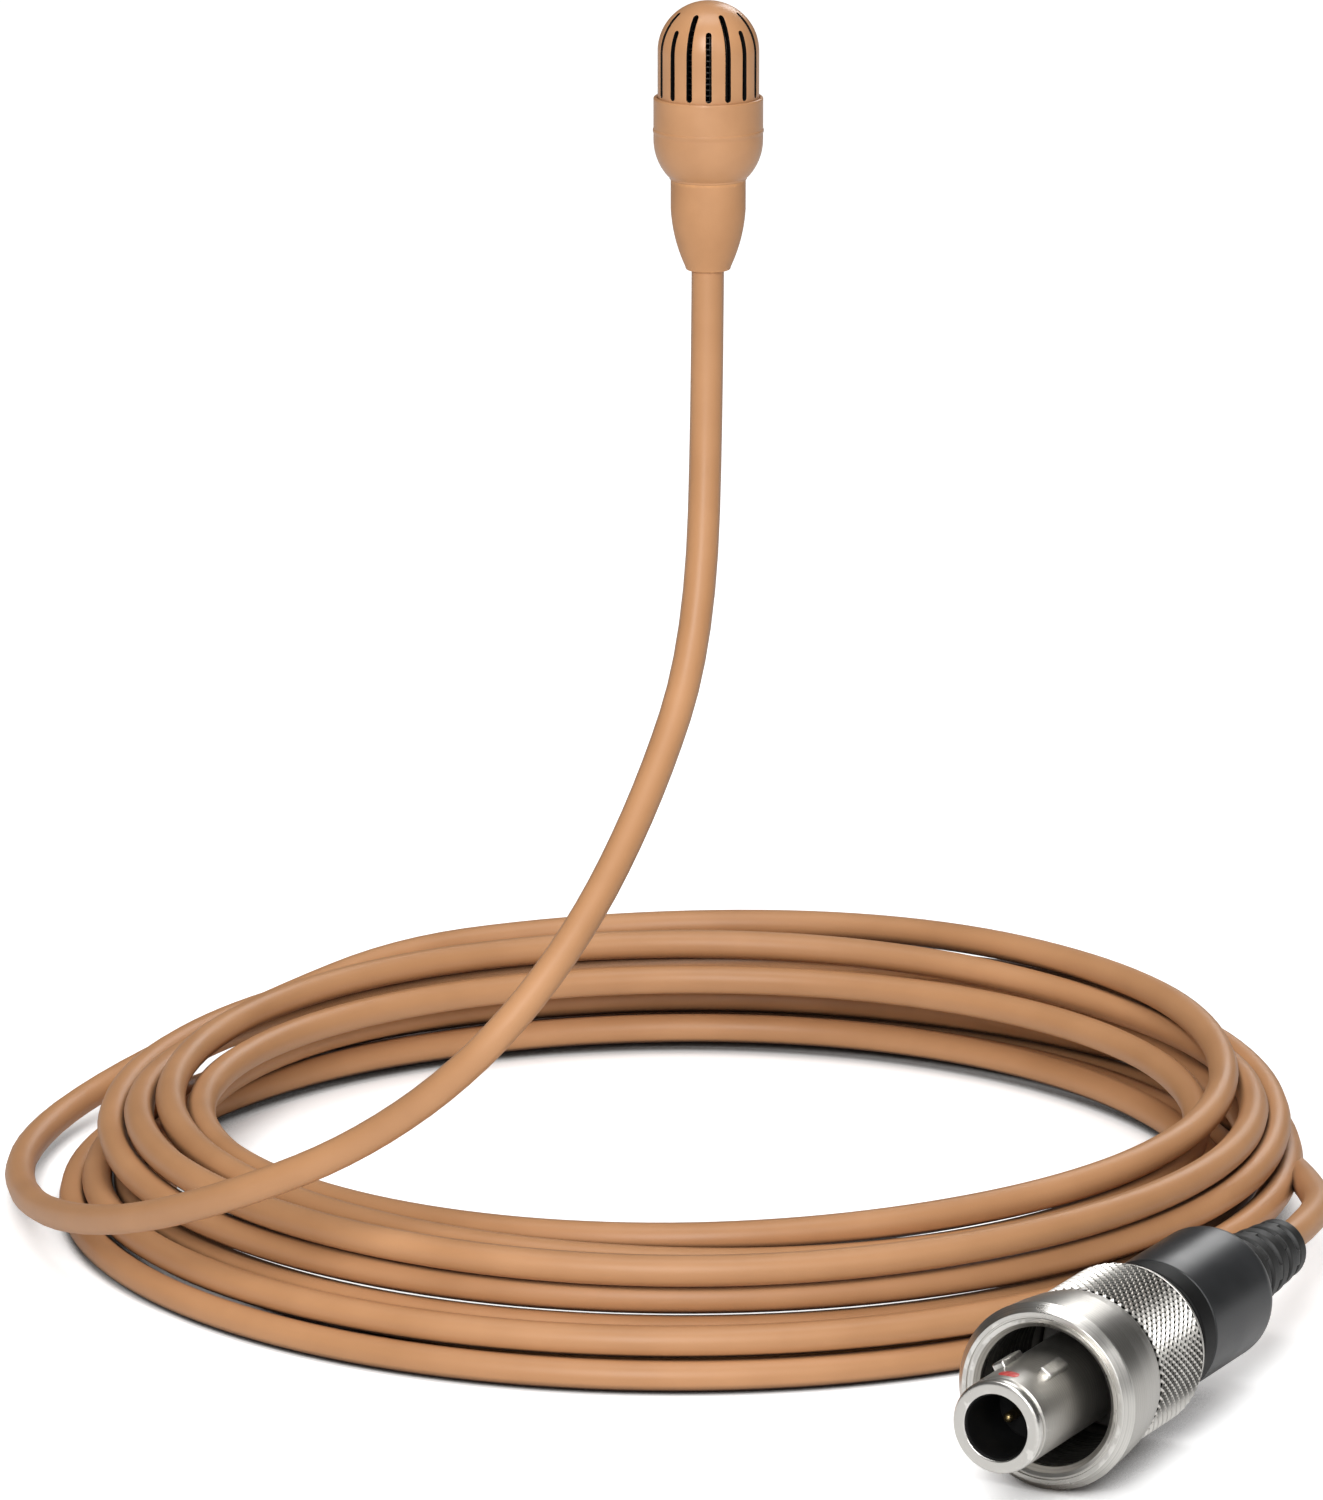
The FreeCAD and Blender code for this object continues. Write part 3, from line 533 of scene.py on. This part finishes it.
def only(piece):
    nothing_selected()
    piece.select_set(True)
    bpy.context.view_layer.objects.active = piece
    return piece


def rest(piece):
    """The piece's place goes into its mesh, and its object to the origin, unturned."""
    only(piece)
    bpy.ops.object.transform_apply(location=True, rotation=True, scale=True)
    return piece


def softened(profile, closed):
    """Corners given a third number are rounded with that radius."""
    line = []
    count = len(profile)
    for index, corner in enumerate(profile):
        at = Vector(corner[:2])
        if len(corner) < 3 or (not closed and index in (0, count - 1)):
            line.append(at)
            continue
        before = Vector(profile[index - 1][:2]) - at
        after = Vector(profile[(index + 1) % count][:2]) - at
        open_angle = before.angle(after)
        reach = corner[2] / math.tan(open_angle / 2)
        reach = min(reach, before.length * 0.49, after.length * 0.49)
        start = at + before.normalized() * reach
        stop = at + after.normalized() * reach
        arc_steps = 5
        for step in range(arc_steps + 1):
            part = step / arc_steps
            line.append((1 - part) ** 2 * start + 2 * part * (1 - part) * at + part ** 2 * stop)
    return line


def bow(start, stop, centre, steps):
    """Points between two ends on an arc round centre, the ends left out."""
    first = Vector(start) - Vector(centre)
    last = Vector(stop) - Vector(centre)
    turn = math.atan2(last.y, last.x) - math.atan2(first.y, first.x)
    points = []
    for step in range(1, steps):
        part = step / steps
        angle = math.atan2(first.y, first.x) + turn * part
        away = first.length + (last.length - first.length) * part
        points.append((centre[0] + away * math.cos(angle), centre[1] + away * math.sin(angle)))
    return points


def with_rings(line, span):
    """More rings on long runs, close beside corners and a span apart between them."""
    margin = 0.07
    filled = [line[0]]
    for here, after in zip(line, line[1:]):
        run = (after - here).length
        if run > margin * 4:
            steps = max(1, round((run - margin * 2) / span))
            ahead = (after - here) / run
            for step in range(steps + 1):
                part = margin + (run - margin * 2) * step / steps
                filled.append(here + ahead * part)
        filled.append(after)
    return filled


def turned(name, profile, closed=True, sides=96, span=0.5):
    """A round piece on +Z, raised ring by ring along its profile of (radius, height), mm."""
    nothing_selected()
    line = softened(profile, closed)
    if closed:
        line.append(line[0])
    if span:
        line = with_rings(line, span)
    radius, level = line[0]
    bpy.ops.mesh.primitive_circle_add(vertices=sides, radius=radius * MM, fill_type="NOTHING",
                                      location=(0, 0, level * MM))
    piece = bpy.context.object
    piece.name = name
    bpy.ops.object.mode_set(mode="EDIT")
    bpy.ops.mesh.select_all(action="SELECT")
    for next_radius, next_level in line[1:]:
        rise = (0, 0, (next_level - level) * MM)
        bpy.ops.mesh.extrude_edges_move(TRANSFORM_OT_translate={"value": rise})
        grow = next_radius / radius
        middle = (0, 0, next_level * MM)
        bpy.ops.transform.resize(value=(grow, grow, 1), center_override=middle)
        if next_radius == 0:
            bpy.ops.mesh.merge(type="CENTER")
            break
        radius, level = next_radius, next_level
    bpy.ops.mesh.select_all(action="SELECT")
    bpy.ops.mesh.remove_doubles(threshold=0.0004 * MM)
    bpy.ops.mesh.normals_make_consistent(inside=False)
    bpy.ops.object.mode_set(mode="OBJECT")
    return rest(piece)


def foot_closed(piece):
    """The open end gets a face, and all faces point outwards."""
    only(piece)
    bpy.ops.object.mode_set(mode="EDIT")
    bpy.ops.mesh.select_all(action="SELECT")
    bpy.ops.mesh.fill_holes(sides=0)
    bpy.ops.mesh.normals_make_consistent(inside=False)
    bpy.ops.object.mode_set(mode="OBJECT")


def points_picked(piece, wanted):
    """Only the points that are wanted are selected, and no edge or face."""
    for edge in piece.data.edges:
        edge.select = False
    for face in piece.data.polygons:
        face.select = False
    for vertex in piece.data.vertices:
        vertex.select = wanted(vertex.co / MM)


def hardened(piece, kind, **settings):
    """One modifier, set up and applied."""
    only(piece)
    extra = piece.modifiers.new(kind.lower(), kind)
    for label, value in settings.items():
        setattr(extra, label, value)
    bpy.ops.object.modifier_apply(modifier=extra.name)
    return piece


def smooth(piece, angle=32.0):
    only(piece)
    bpy.ops.object.shade_smooth_by_angle(angle=math.radians(angle))
    return piece


def copies_joined(piece, turns):
    """Copies of a piece turned round +Z, degrees, joined into one."""
    made = []
    for turn in turns:
        only(piece)
        bpy.ops.object.duplicate(linked=False)
        twin = bpy.context.object
        twin.rotation_euler = (0, 0, math.radians(turn))
        made.append(rest(twin))
    nothing_selected()
    bpy.data.objects.remove(piece)
    for twin in made:
        twin.select_set(True)
    bpy.context.view_layer.objects.active = made[0]
    bpy.ops.object.join()
    return bpy.context.object


def cut(piece, cutter):
    hardened(piece, "BOOLEAN", operation="DIFFERENCE", solver="MANIFOLD", object=cutter)
    bpy.data.objects.remove(cutter)
    return piece


def wear_finish(piece, material):
    piece.data.materials.clear()
    piece.data.materials.append(material)


def place_piece(piece, material, body, slot, *nodes):
    """Finish, body, record slot (not used), and the CAD nodes that the piece stands for."""
    wear_finish(piece, material)
    if nodes:
        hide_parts(*nodes)
    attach(piece, body)
    return piece


def on_plug(piece):
    """From upright at the origin to lying on the surface, along the plug's axis."""
    side = AHEAD.cross(UP)
    turn = Matrix((UP, side, AHEAD)).transposed().to_4x4()
    piece.matrix_world = Matrix.Translation(PLUG_TIP * MM) @ turn
    return rest(piece)


# ---- the head ----
PART_LINE = 3.175
COLLAR_R = 2.7
COLLAR_EDGE = 4.825
NECK_R = 1.85
CAP_R = 2.5
DOME = 7.075
CAP_FOOT = 4.2
CAP_WALL = 0.28
LONG_SLOT = DOME + 2.0
SHORT_SLOT = DOME + 1.26


def make_rear_shell():
    bulb = bow((NECK_R + 0.09, 0.84), (COLLAR_R, 2.675), (0, 2.675), 14)
    bead = COLLAR_R + 0.03
    profile = [(1.55, 0.735), (NECK_R + 0.05, 0.735, 0.05), (NECK_R + 0.075, 0.84)] + bulb
    profile += [(COLLAR_R, 2.675), (COLLAR_R, PART_LINE - 0.12), (bead, PART_LINE - 0.06),
                (bead, PART_LINE + 0.05, 0.03), (COLLAR_R, PART_LINE + 0.10),
                (2.37, PART_LINE + 0.10), (2.37, 2.7), (1.75, 1.2)]
    piece = smooth(turned("rear_shell", profile, sides=128))
    return place_piece(piece, skin_lacquer, "root", "tan_housing", "rear_housing")


def make_collar_shell():
    low = PART_LINE + 0.10
    profile = [(2.36, low), (COLLAR_R, low), (COLLAR_R, COLLAR_EDGE, 0.09),
               (2.52, COLLAR_EDGE, 0.05), (2.52, 4.02), (2.36, 4.02)]
    piece = smooth(turned("collar_shell", profile, sides=128))
    return place_piece(piece, skin_lacquer, "root", "tan_housing", "front_collar")


def make_neck_skin():
    taper = bow((1.14, -3.6), (NECK_R, -0.725), (-6.08, -0.725), 14)
    profile = [(0.83, -3.775), (1.1, -3.775, 0.12), (1.14, -3.6)] + taper
    profile += [(NECK_R, -0.725), (NECK_R, 0.60), (NECK_R, 0.735),
                (1.4, 0.735), (0.83, 0.5)]
    piece = smooth(turned("neck_skin", profile, sides=96))
    return place_piece(piece, skin_rubber, "root", "tan_rubber", "neck_sleeve")


def make_slot_cutter(top, turns):
    """Narrow slots with round ends, cut outwards through the cap."""
    half = 0.15
    nothing_selected()
    bpy.ops.mesh.primitive_circle_add(vertices=16, radius=half * MM, fill_type="NGON",
                                      location=(0.9 * MM, 0, (top - half) * MM),
                                      rotation=(0, math.pi / 2, 0))
    cutter = rest(bpy.context.object)
    drop = top - COLLAR_EDGE - 0.075 - half * 2
    points_picked(cutter, lambda at: at.z < top - half + 0.001)
    bpy.ops.object.mode_set(mode="EDIT")
    bpy.ops.mesh.select_mode(type="VERT")
    bpy.ops.transform.translate(value=(0, 0, -drop * MM))
    bpy.ops.mesh.select_all(action="SELECT")
    bpy.ops.mesh.extrude_region_move(TRANSFORM_OT_translate={"value": (2.4 * MM, 0, 0)})
    bpy.ops.mesh.select_all(action="SELECT")
    bpy.ops.mesh.normals_make_consistent(inside=False)
    bpy.ops.object.mode_set(mode="OBJECT")
    return copies_joined(cutter, turns)


def make_cap():
    dome = bow((CAP_R, DOME), (0.001, DOME + CAP_R), (0, DOME), 28)
    profile = [(CAP_R, CAP_FOOT), (CAP_R, DOME)] + dome + [(0, DOME + CAP_R)]
    cap = turned("slotted_cap", profile, closed=False, sides=160, span=0.2)
    only(cap)
    bpy.ops.object.mode_set(mode="EDIT")
    bpy.ops.mesh.select_all(action="SELECT")
    bpy.ops.mesh.normals_make_consistent(inside=False)
    bpy.ops.object.mode_set(mode="OBJECT")
    hardened(cap, "SOLIDIFY", thickness=CAP_WALL * MM, offset=-1.0, use_even_offset=True)
    long_turns = [22.5 + 45 * count for count in range(8)]
    short_turns = [45 * count for count in range(8)]
    cut(cap, make_slot_cutter(LONG_SLOT, long_turns))
    cut(cap, make_slot_cutter(SHORT_SLOT, short_turns))
    only(cap)
    bpy.ops.object.mode_set(mode="EDIT")
    bpy.ops.mesh.select_all(action="SELECT")
    bpy.ops.mesh.remove_doubles(threshold=0.008 * MM)
    bpy.ops.mesh.dissolve_degenerate(threshold=0.004 * MM)
    bpy.ops.object.mode_set(mode="OBJECT")
    hardened(cap, "BEVEL", width=0.07 * MM, segments=3, limit_method="ANGLE",
             angle_limit=math.radians(42))
    smooth(cap, 34)
    hardened(cap, "WEIGHTED_NORMAL", keep_sharp=True)
    place_piece(cap, cap_lacquer, "cap", "tan_housing", "mic_cap")
    # Slot walls and the cap's inside go near-black: painted shade.
    cap.data.materials.append(black_insert_and_shade)
    for face in cap.data.polygons:
        at = face.center / MM
        away = Vector((at.x, at.y, max(at.z - DOME, 0))).length
        if away < CAP_R - 0.11:
            face.material_index = 1
    return cap


# ---- the plug, upright on +Z from the strain relief's tip ----
BOOT_BACK = 7.9
BOOT_FRONT = 16.7
NUT_BACK = 17.9
NUT_LEDGE = 19.1
BAND_LENGTH = 4.3
NUT_FRONT = 27.7
BARREL_FRONT = 32.7
INSERT_FRONT = 29.1
BARREL_R = 2.3
BORE_R = 1.65
GRIP_R = 4.1


def make_barrel():
    collar = NUT_LEDGE + 0.2
    mouth = BARREL_FRONT
    profile = [(BORE_R, 14.1), (2.6, 14.1), (2.6, collar), (3.6, collar, 0.05),
               (3.6, collar + 1, 0.1), (BARREL_R, collar + 1, 0.1),
               (BARREL_R, mouth - 0.70, 0.04), (2.16, mouth - 0.65, 0.03),
               (2.16, mouth - 0.52, 0.03), (BARREL_R, mouth - 0.45, 0.08),
               (BARREL_R, mouth, 0.28), (BORE_R, mouth, 0.08), (BORE_R, mouth - 1.0),
               (BORE_R, mouth - 1.8)]
    piece = smooth(turned("plug_barrel", profile), 40)
    piece = on_plug(piece)
    place_piece(piece, satin_nickel, "root", "nickel", "plug_shell")
    piece.data.materials.append(bright_nickel)
    lip_from = PLUG_TIP.dot(AHEAD) + BARREL_FRONT - 0.5
    for face in piece.data.polygons:
        if face.center.dot(AHEAD) / MM > lip_from:
            face.material_index = 1
    return piece


def make_lining():
    """Black sleeve inside the barrel, which hides the bore's metal behind its lip: a lining, made
    near-black as painted shade in the bore.
    """
    mouth = BARREL_FRONT
    profile = [(1.56, INSERT_FRONT), (1.645, INSERT_FRONT), (1.645, mouth - 0.12),
               (1.62, mouth - 0.09, 0.02), (1.56, mouth - 0.2)]
    piece = on_plug(smooth(turned("bore_lining", profile, sides=64)))
    return place_piece(piece, black_insert_and_shade, "root", "insulator_plastic")


def make_pins():
    """Three short round-nosed pins that stand just proud of the insulator."""
    tip = INSERT_FRONT + 1.1
    nose = [(0.25, 17.0), (0.25, tip - 0.22), (0.22, tip - 0.11), (0.13, tip - 0.03), (0, tip)]
    pin = turned("contact_tips", nose, closed=False, sides=20)
    foot_closed(pin)
    pin.location = (0.75 * MM, 0, 0)
    rest(smooth(pin, 50))
    pins = copies_joined(pin, (0, 120, 240))
    pins.name = "contact_tips"
    on_plug(pins)
    return place_piece(pins, shaded_gold_pin, "root", "brass_metal", "contact_pins")


def make_keys():
    nothing_selected()
    bpy.ops.mesh.primitive_cube_add(size=MM, location=(2.32 * MM, 0, (BARREL_FRONT - 3.7) * MM))
    key = bpy.context.object
    key.scale = (0.56, 0.7, 2.0)
    rest(key)
    hardened(key, "BEVEL", width=0.12 * MM, segments=4, limit_method="NONE")
    keys = copies_joined(key, (30, -30))
    keys.name = "barrel_keys"
    on_plug(smooth(keys, 40))
    return place_piece(keys, satin_nickel, "root", "nickel")


def make_dot():
    radius = 0.5
    crown = [(radius, 0.0), (radius, 0.05, 0.02), (radius * 0.7, 0.085), (radius * 0.35, 0.1),
             (0, 0.105)]
    dot = turned("red_dot", crown, closed=False, sides=32)
    foot_closed(dot)
    dot.location = (2.215 * MM, 0, (BARREL_FRONT - 1.38) * MM)
    dot.rotation_euler = (0, math.pi / 2, 0)
    rest(dot)
    on_plug(smooth(dot, 50))
    return place_piece(dot, red_paint, "root", "red_paint", "alignment_dot")


def make_nut():
    band = NUT_FRONT - BAND_LENGTH
    thread = []
    level = NUT_FRONT - 1.0
    while level > 21.4:
        thread += [(3.70, level), (3.58, level - 0.18), (3.58, level - 0.24), (3.70, level - 0.42)]
        level -= 0.5
    profile = [(2.72, NUT_BACK), (GRIP_R - 0.1, NUT_BACK, 0.12), (GRIP_R, NUT_BACK + 0.3, 0.05),
               (GRIP_R - 0.3, NUT_BACK + 0.34), (GRIP_R - 0.3, band - 0.12),
               (GRIP_R + 0.08, band - 0.08, 0.03), (GRIP_R + 0.14, band + 0.1),
               (GRIP_R + 0.30, band + 0.9), (GRIP_R + 0.45, band + 2.2),
               (4.64, NUT_FRONT - 0.62, 0.06), (4.68, NUT_FRONT - 0.5, 0.05),
               (4.28, NUT_FRONT, 0.06), (4.06, NUT_FRONT, 0.03), (4.05, NUT_FRONT - 0.09),
               (3.98, NUT_FRONT - 0.09), (3.97, NUT_FRONT - 0.02, 0.03),
               (3.74, NUT_FRONT - 0.10, 0.05), (3.48, NUT_FRONT - 0.34, 0.04),
               (3.48, NUT_FRONT - 0.72, 0.05), (3.74, NUT_FRONT - 0.80)] + thread
    profile += [(3.70, 20.0), (3.70, NUT_LEDGE), (2.72, NUT_LEDGE)]
    piece = smooth(turned("coupling_ring", profile, sides=128), 28)
    on_plug(piece)
    place_piece(piece, satin_nickel, "nut", "nickel", "coupling_nut")
    piece.data.materials.append(bright_nickel)
    piece.data.materials.append(shaded_nickel)
    start = PLUG_TIP.dot(AHEAD)
    for face in piece.data.polygons:
        along = face.center.dot(AHEAD) / MM - start
        away = (face.center / MM - PLUG_TIP - AHEAD * along).length
        if along > NUT_FRONT - 0.64 and away > 3.45:
            face.material_index = 1
        elif away < 3.76 and along < NUT_FRONT - 0.6:
            face.material_index = 2
    return piece


def make_knurl():
    """Diamond knurl: a fine net of ridges between peaks, raised point by point."""
    rows = 20
    columns = 120
    low = NUT_BACK + 0.33
    high = NUT_FRONT - BAND_LENGTH - 0.1
    base = GRIP_R - 0.06
    profile = [(base, low + (high - low) * row / rows) for row in range(rows + 1)]
    piece = turned("grip_knurl", profile, closed=False, sides=columns, span=0)
    pitch = (high - low) / rows

    def is_peak(at):
        row = round((at.z - low) / pitch)
        column = round(math.atan2(at.y, at.x) / (2 * math.pi) * columns)
        return (row + column) % 2 == 0 and 0 < row < rows

    points_picked(piece, is_peak)
    only(piece)
    bpy.ops.object.mode_set(mode="EDIT")
    bpy.ops.mesh.select_mode(type="VERT")
    grow = (GRIP_R + 0.10) / base
    bpy.ops.transform.resize(value=(grow, grow, 1), center_override=(0, 0, 0))
    bpy.ops.mesh.select_all(action="SELECT")
    bpy.ops.mesh.quads_convert_to_tris(quad_method="LONGEST_DIAGONAL")
    bpy.ops.mesh.normals_make_consistent(inside=False)
    bpy.ops.object.mode_set(mode="OBJECT")
    on_plug(piece)
    return place_piece(piece, knurled_nickel, "nut", "nickel")


# A near-black ring between the boot and the nut: painted shade of the gap there.
def make_gap_ring():
    low = BOOT_FRONT - 0.02
    profile = [(2.62, low), (3.3, low), (3.3, low + 0.45, 0.08), (2.62, low + 0.5)]
    piece = on_plug(smooth(turned("gap_ring", profile)))
    return place_piece(piece, black_insert_and_shade, "root", "black_rubber")


def make_boot():
    shoulder = 1.1
    radius = 3.45
    ring_back = 15.3
    curve = bow((radius - shoulder, BOOT_BACK), (radius, BOOT_BACK + shoulder),
                (radius - shoulder, BOOT_BACK + shoulder), 10)
    profile = [(2.12, BOOT_BACK), (radius - shoulder, BOOT_BACK)] + curve
    profile += [(radius, BOOT_BACK + shoulder), (radius, 12.5),
                (radius, ring_back - 0.1, 0.03), (radius - 0.06, ring_back - 0.05),
                (radius - 0.06, ring_back), (radius, ring_back + 0.05, 0.03),
                (radius, BOOT_FRONT, 0.15),
                (3.12, BOOT_FRONT, 0.05), (3.12, BOOT_BACK + 1.4), (2.12, BOOT_BACK + 1.3)]
    piece = on_plug(smooth(turned("rubber_boot", profile)))
    place_piece(piece, black_satin, "root", "black_rubber", "plug_boot")
    # The boot's front, from ring_back on, goes near-black: painted shade beside the nut.
    piece.data.materials.append(black_insert_and_shade)
    start = PLUG_TIP.dot(AHEAD)
    for face in piece.data.polygons:
        if face.center.dot(AHEAD) / MM - start > ring_back - 0.04:
            face.material_index = 1
    return piece


def make_relief():
    """Five ribs on a tapered sleeve, with bridges between them, staggered rib to rib."""
    pitch = BOOT_BACK / 6
    profile = [(0.82, 0.0), (1.22, 0.0, 0.08), (1.24, 0.2)]
    bridges = []
    for rib in range(5):
        foot = pitch * (rib + 0.25)
        radius = 1.5 + 0.6 * (rib + 0.5) / 5
        profile += [(radius - 0.32, foot, 0.05), (radius, foot + pitch * 0.08, 0.12),
                    (radius + 0.02, foot + pitch * 0.62, 0.12),
                    (radius - 0.30, foot + pitch * 0.72)]
        bridges.append((radius, foot + pitch * 0.86))
    profile += [(2.05, BOOT_BACK - pitch * 0.35, 0.08), (2.1, BOOT_BACK + 0.1),
                (2.1, BOOT_BACK + 1.2), (0.82, BOOT_BACK + 1.2)]
    sleeve = turned("ribbed_relief", profile, sides=72)
    parts = [sleeve]
    for number, (radius, level) in enumerate(bridges):
        nothing_selected()
        bpy.ops.mesh.primitive_cube_add(size=MM, location=((radius - 0.17) * MM, 0, level * MM))
        bar = bpy.context.object
        bar.scale = (0.36, 0.8, 0.56)
        rest(bar)
        hardened(bar, "BEVEL", width=0.08 * MM, segments=2, limit_method="NONE")
        parts.append(copies_joined(bar, [45 * (number % 2) + 90 * side for side in range(4)]))
    nothing_selected()
    for part in parts:
        part.select_set(True)
    bpy.context.view_layer.objects.active = sleeve
    bpy.ops.object.join()
    on_plug(smooth(sleeve, 40))
    return place_piece(sleeve, black_rubber, "root", "black_rubber", "strain_relief")


make_rear_shell()
make_collar_shell()
make_neck_skin()
make_cap()
barrel = make_barrel()
make_lining()
make_pins()
make_keys()
make_dot()
ring = make_nut()
make_knurl()
make_gap_ring()
boot = make_boot()
relief = make_relief()

cord, cord_length = lay_cord(cord_jacket)
print("cord length", round(cord_length, 4))
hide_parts("free_cord", "cord_coil", "plug_cord")
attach(cord, "root")

# ---- the parts inside, which keep their own shapes ----
INSIDE = {
    "cap_seal": black_rubber, "cap_screen": woven_screen, "capsule_can": capsule_steel,
    "capsule_ring": black_rubber, "diaphragm_ring": turned_brass, "diaphragm": capsule_film,
    "spacer_ring": white_plastic, "backplate": turned_brass, "insulator_cup": white_plastic,
    "preamp_board": green_board, "transistor": black_epoxy, "cord_ferrule": turned_brass,
    "lead_wires": wire_copper, "cord_end": cord_jacket, "pin_insulator": black_insert_and_shade,
    "plug_wires": wire_copper, "nut_washer": spring_steel,
    "collet_nut": satin_nickel, "cord_collet": turned_brass,
}
for node_name, inside_finish in INSIDE.items():
    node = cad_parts[node_name]
    if not node.material_slots:
        node.data.materials.append(inside_finish)
    for node_slot in node.material_slots:
        node_slot.material = inside_finish

# ---- floor, light and camera ----
bpy.ops.object.select_all(action="DESELECT")
bpy.ops.mesh.primitive_plane_add(size=12, location=(0, 2, FLOOR * MM))
floor = bpy.context.object
floor.name = "floor"
floor_white = finish("pale_floor", (0.84, 0.84, 0.84), (0.88, 0.88, 0.88), (0.75, 0.85),
                     cloud=6.0, grain=900.0, depth=0.01)
floor_shader = floor_white.node_tree.nodes["Principled BSDF"]
floor_shader.inputs["Emission Color"].default_value = (1, 1, 1, 1)
seen = floor_white.node_tree.nodes.new("ShaderNodeLightPath").outputs["Is Camera Ray"]
# Painted shadow: near the cord the floor's colour darkens and its glow dims.
bare = shaded_in_gaps(floor_white, 5.0, 0.12, 0.45, (0.10, 0.075, 0.06))
glow = sum_of(floor_white.node_tree, "MULTIPLY", seen, 0.50)
wire(floor_white.node_tree, sum_of(floor_white.node_tree, "MULTIPLY", glow, bare),
     floor_shader.inputs["Emission Strength"])
floor.data.materials.append(floor_white)

world = bpy.data.worlds.new("studio")
bpy.context.scene.world = world
world.use_nodes = True
world.node_tree.nodes["Background"].inputs["Color"].default_value = (1.0, 0.99, 0.97, 1)
world.node_tree.nodes["Background"].inputs["Strength"].default_value = 0.07


def softbox(name, place, aim, size, power, gloss=1.0):
    lamp = bpy.data.lights.new(name, "AREA")
    lamp.shape = "RECTANGLE"
    lamp.size, lamp.size_y = size
    lamp.energy = power
    lamp.specular_factor = gloss
    box = bpy.data.objects.new(name, lamp)
    bpy.context.scene.collection.objects.link(box)
    box.location = place
    box.rotation_euler = (Vector(aim) - Vector(place)).to_track_quat("-Z", "Y").to_euler()


softbox("key_light", (-0.13, -0.80, 0.40), (0, 0, -0.03), (0.22, 0.5), 6.5)
softbox("fill_light", (0.35, -0.65, 0.25), (0, 0, -0.03), (0.15, 0.4), 0.8)
softbox("top_light", (0.0, -0.05, 0.9), (0, 0.02, -0.05), (0.7, 0.4), 4.6)
softbox("back_light", (0.30, 0.85, 0.45), (0, 0.02, -0.03), (0.3, 0.4), 1.8, 0.25)

camera_data = bpy.data.cameras.new("camera")
camera_data.sensor_width = 36
camera_data.lens = 200.4
camera_data.clip_start = 0.01
camera = bpy.data.objects.new("camera", camera_data)
camera.location = (-2.3 * MM, -405.63 * MM, 72.53 * MM)
camera.rotation_euler = (math.radians(90 - 13.95), 0, 0)
bpy.context.scene.collection.objects.link(camera)
bpy.context.scene.camera = camera
bpy.context.scene.view_settings.view_transform = "Standard"
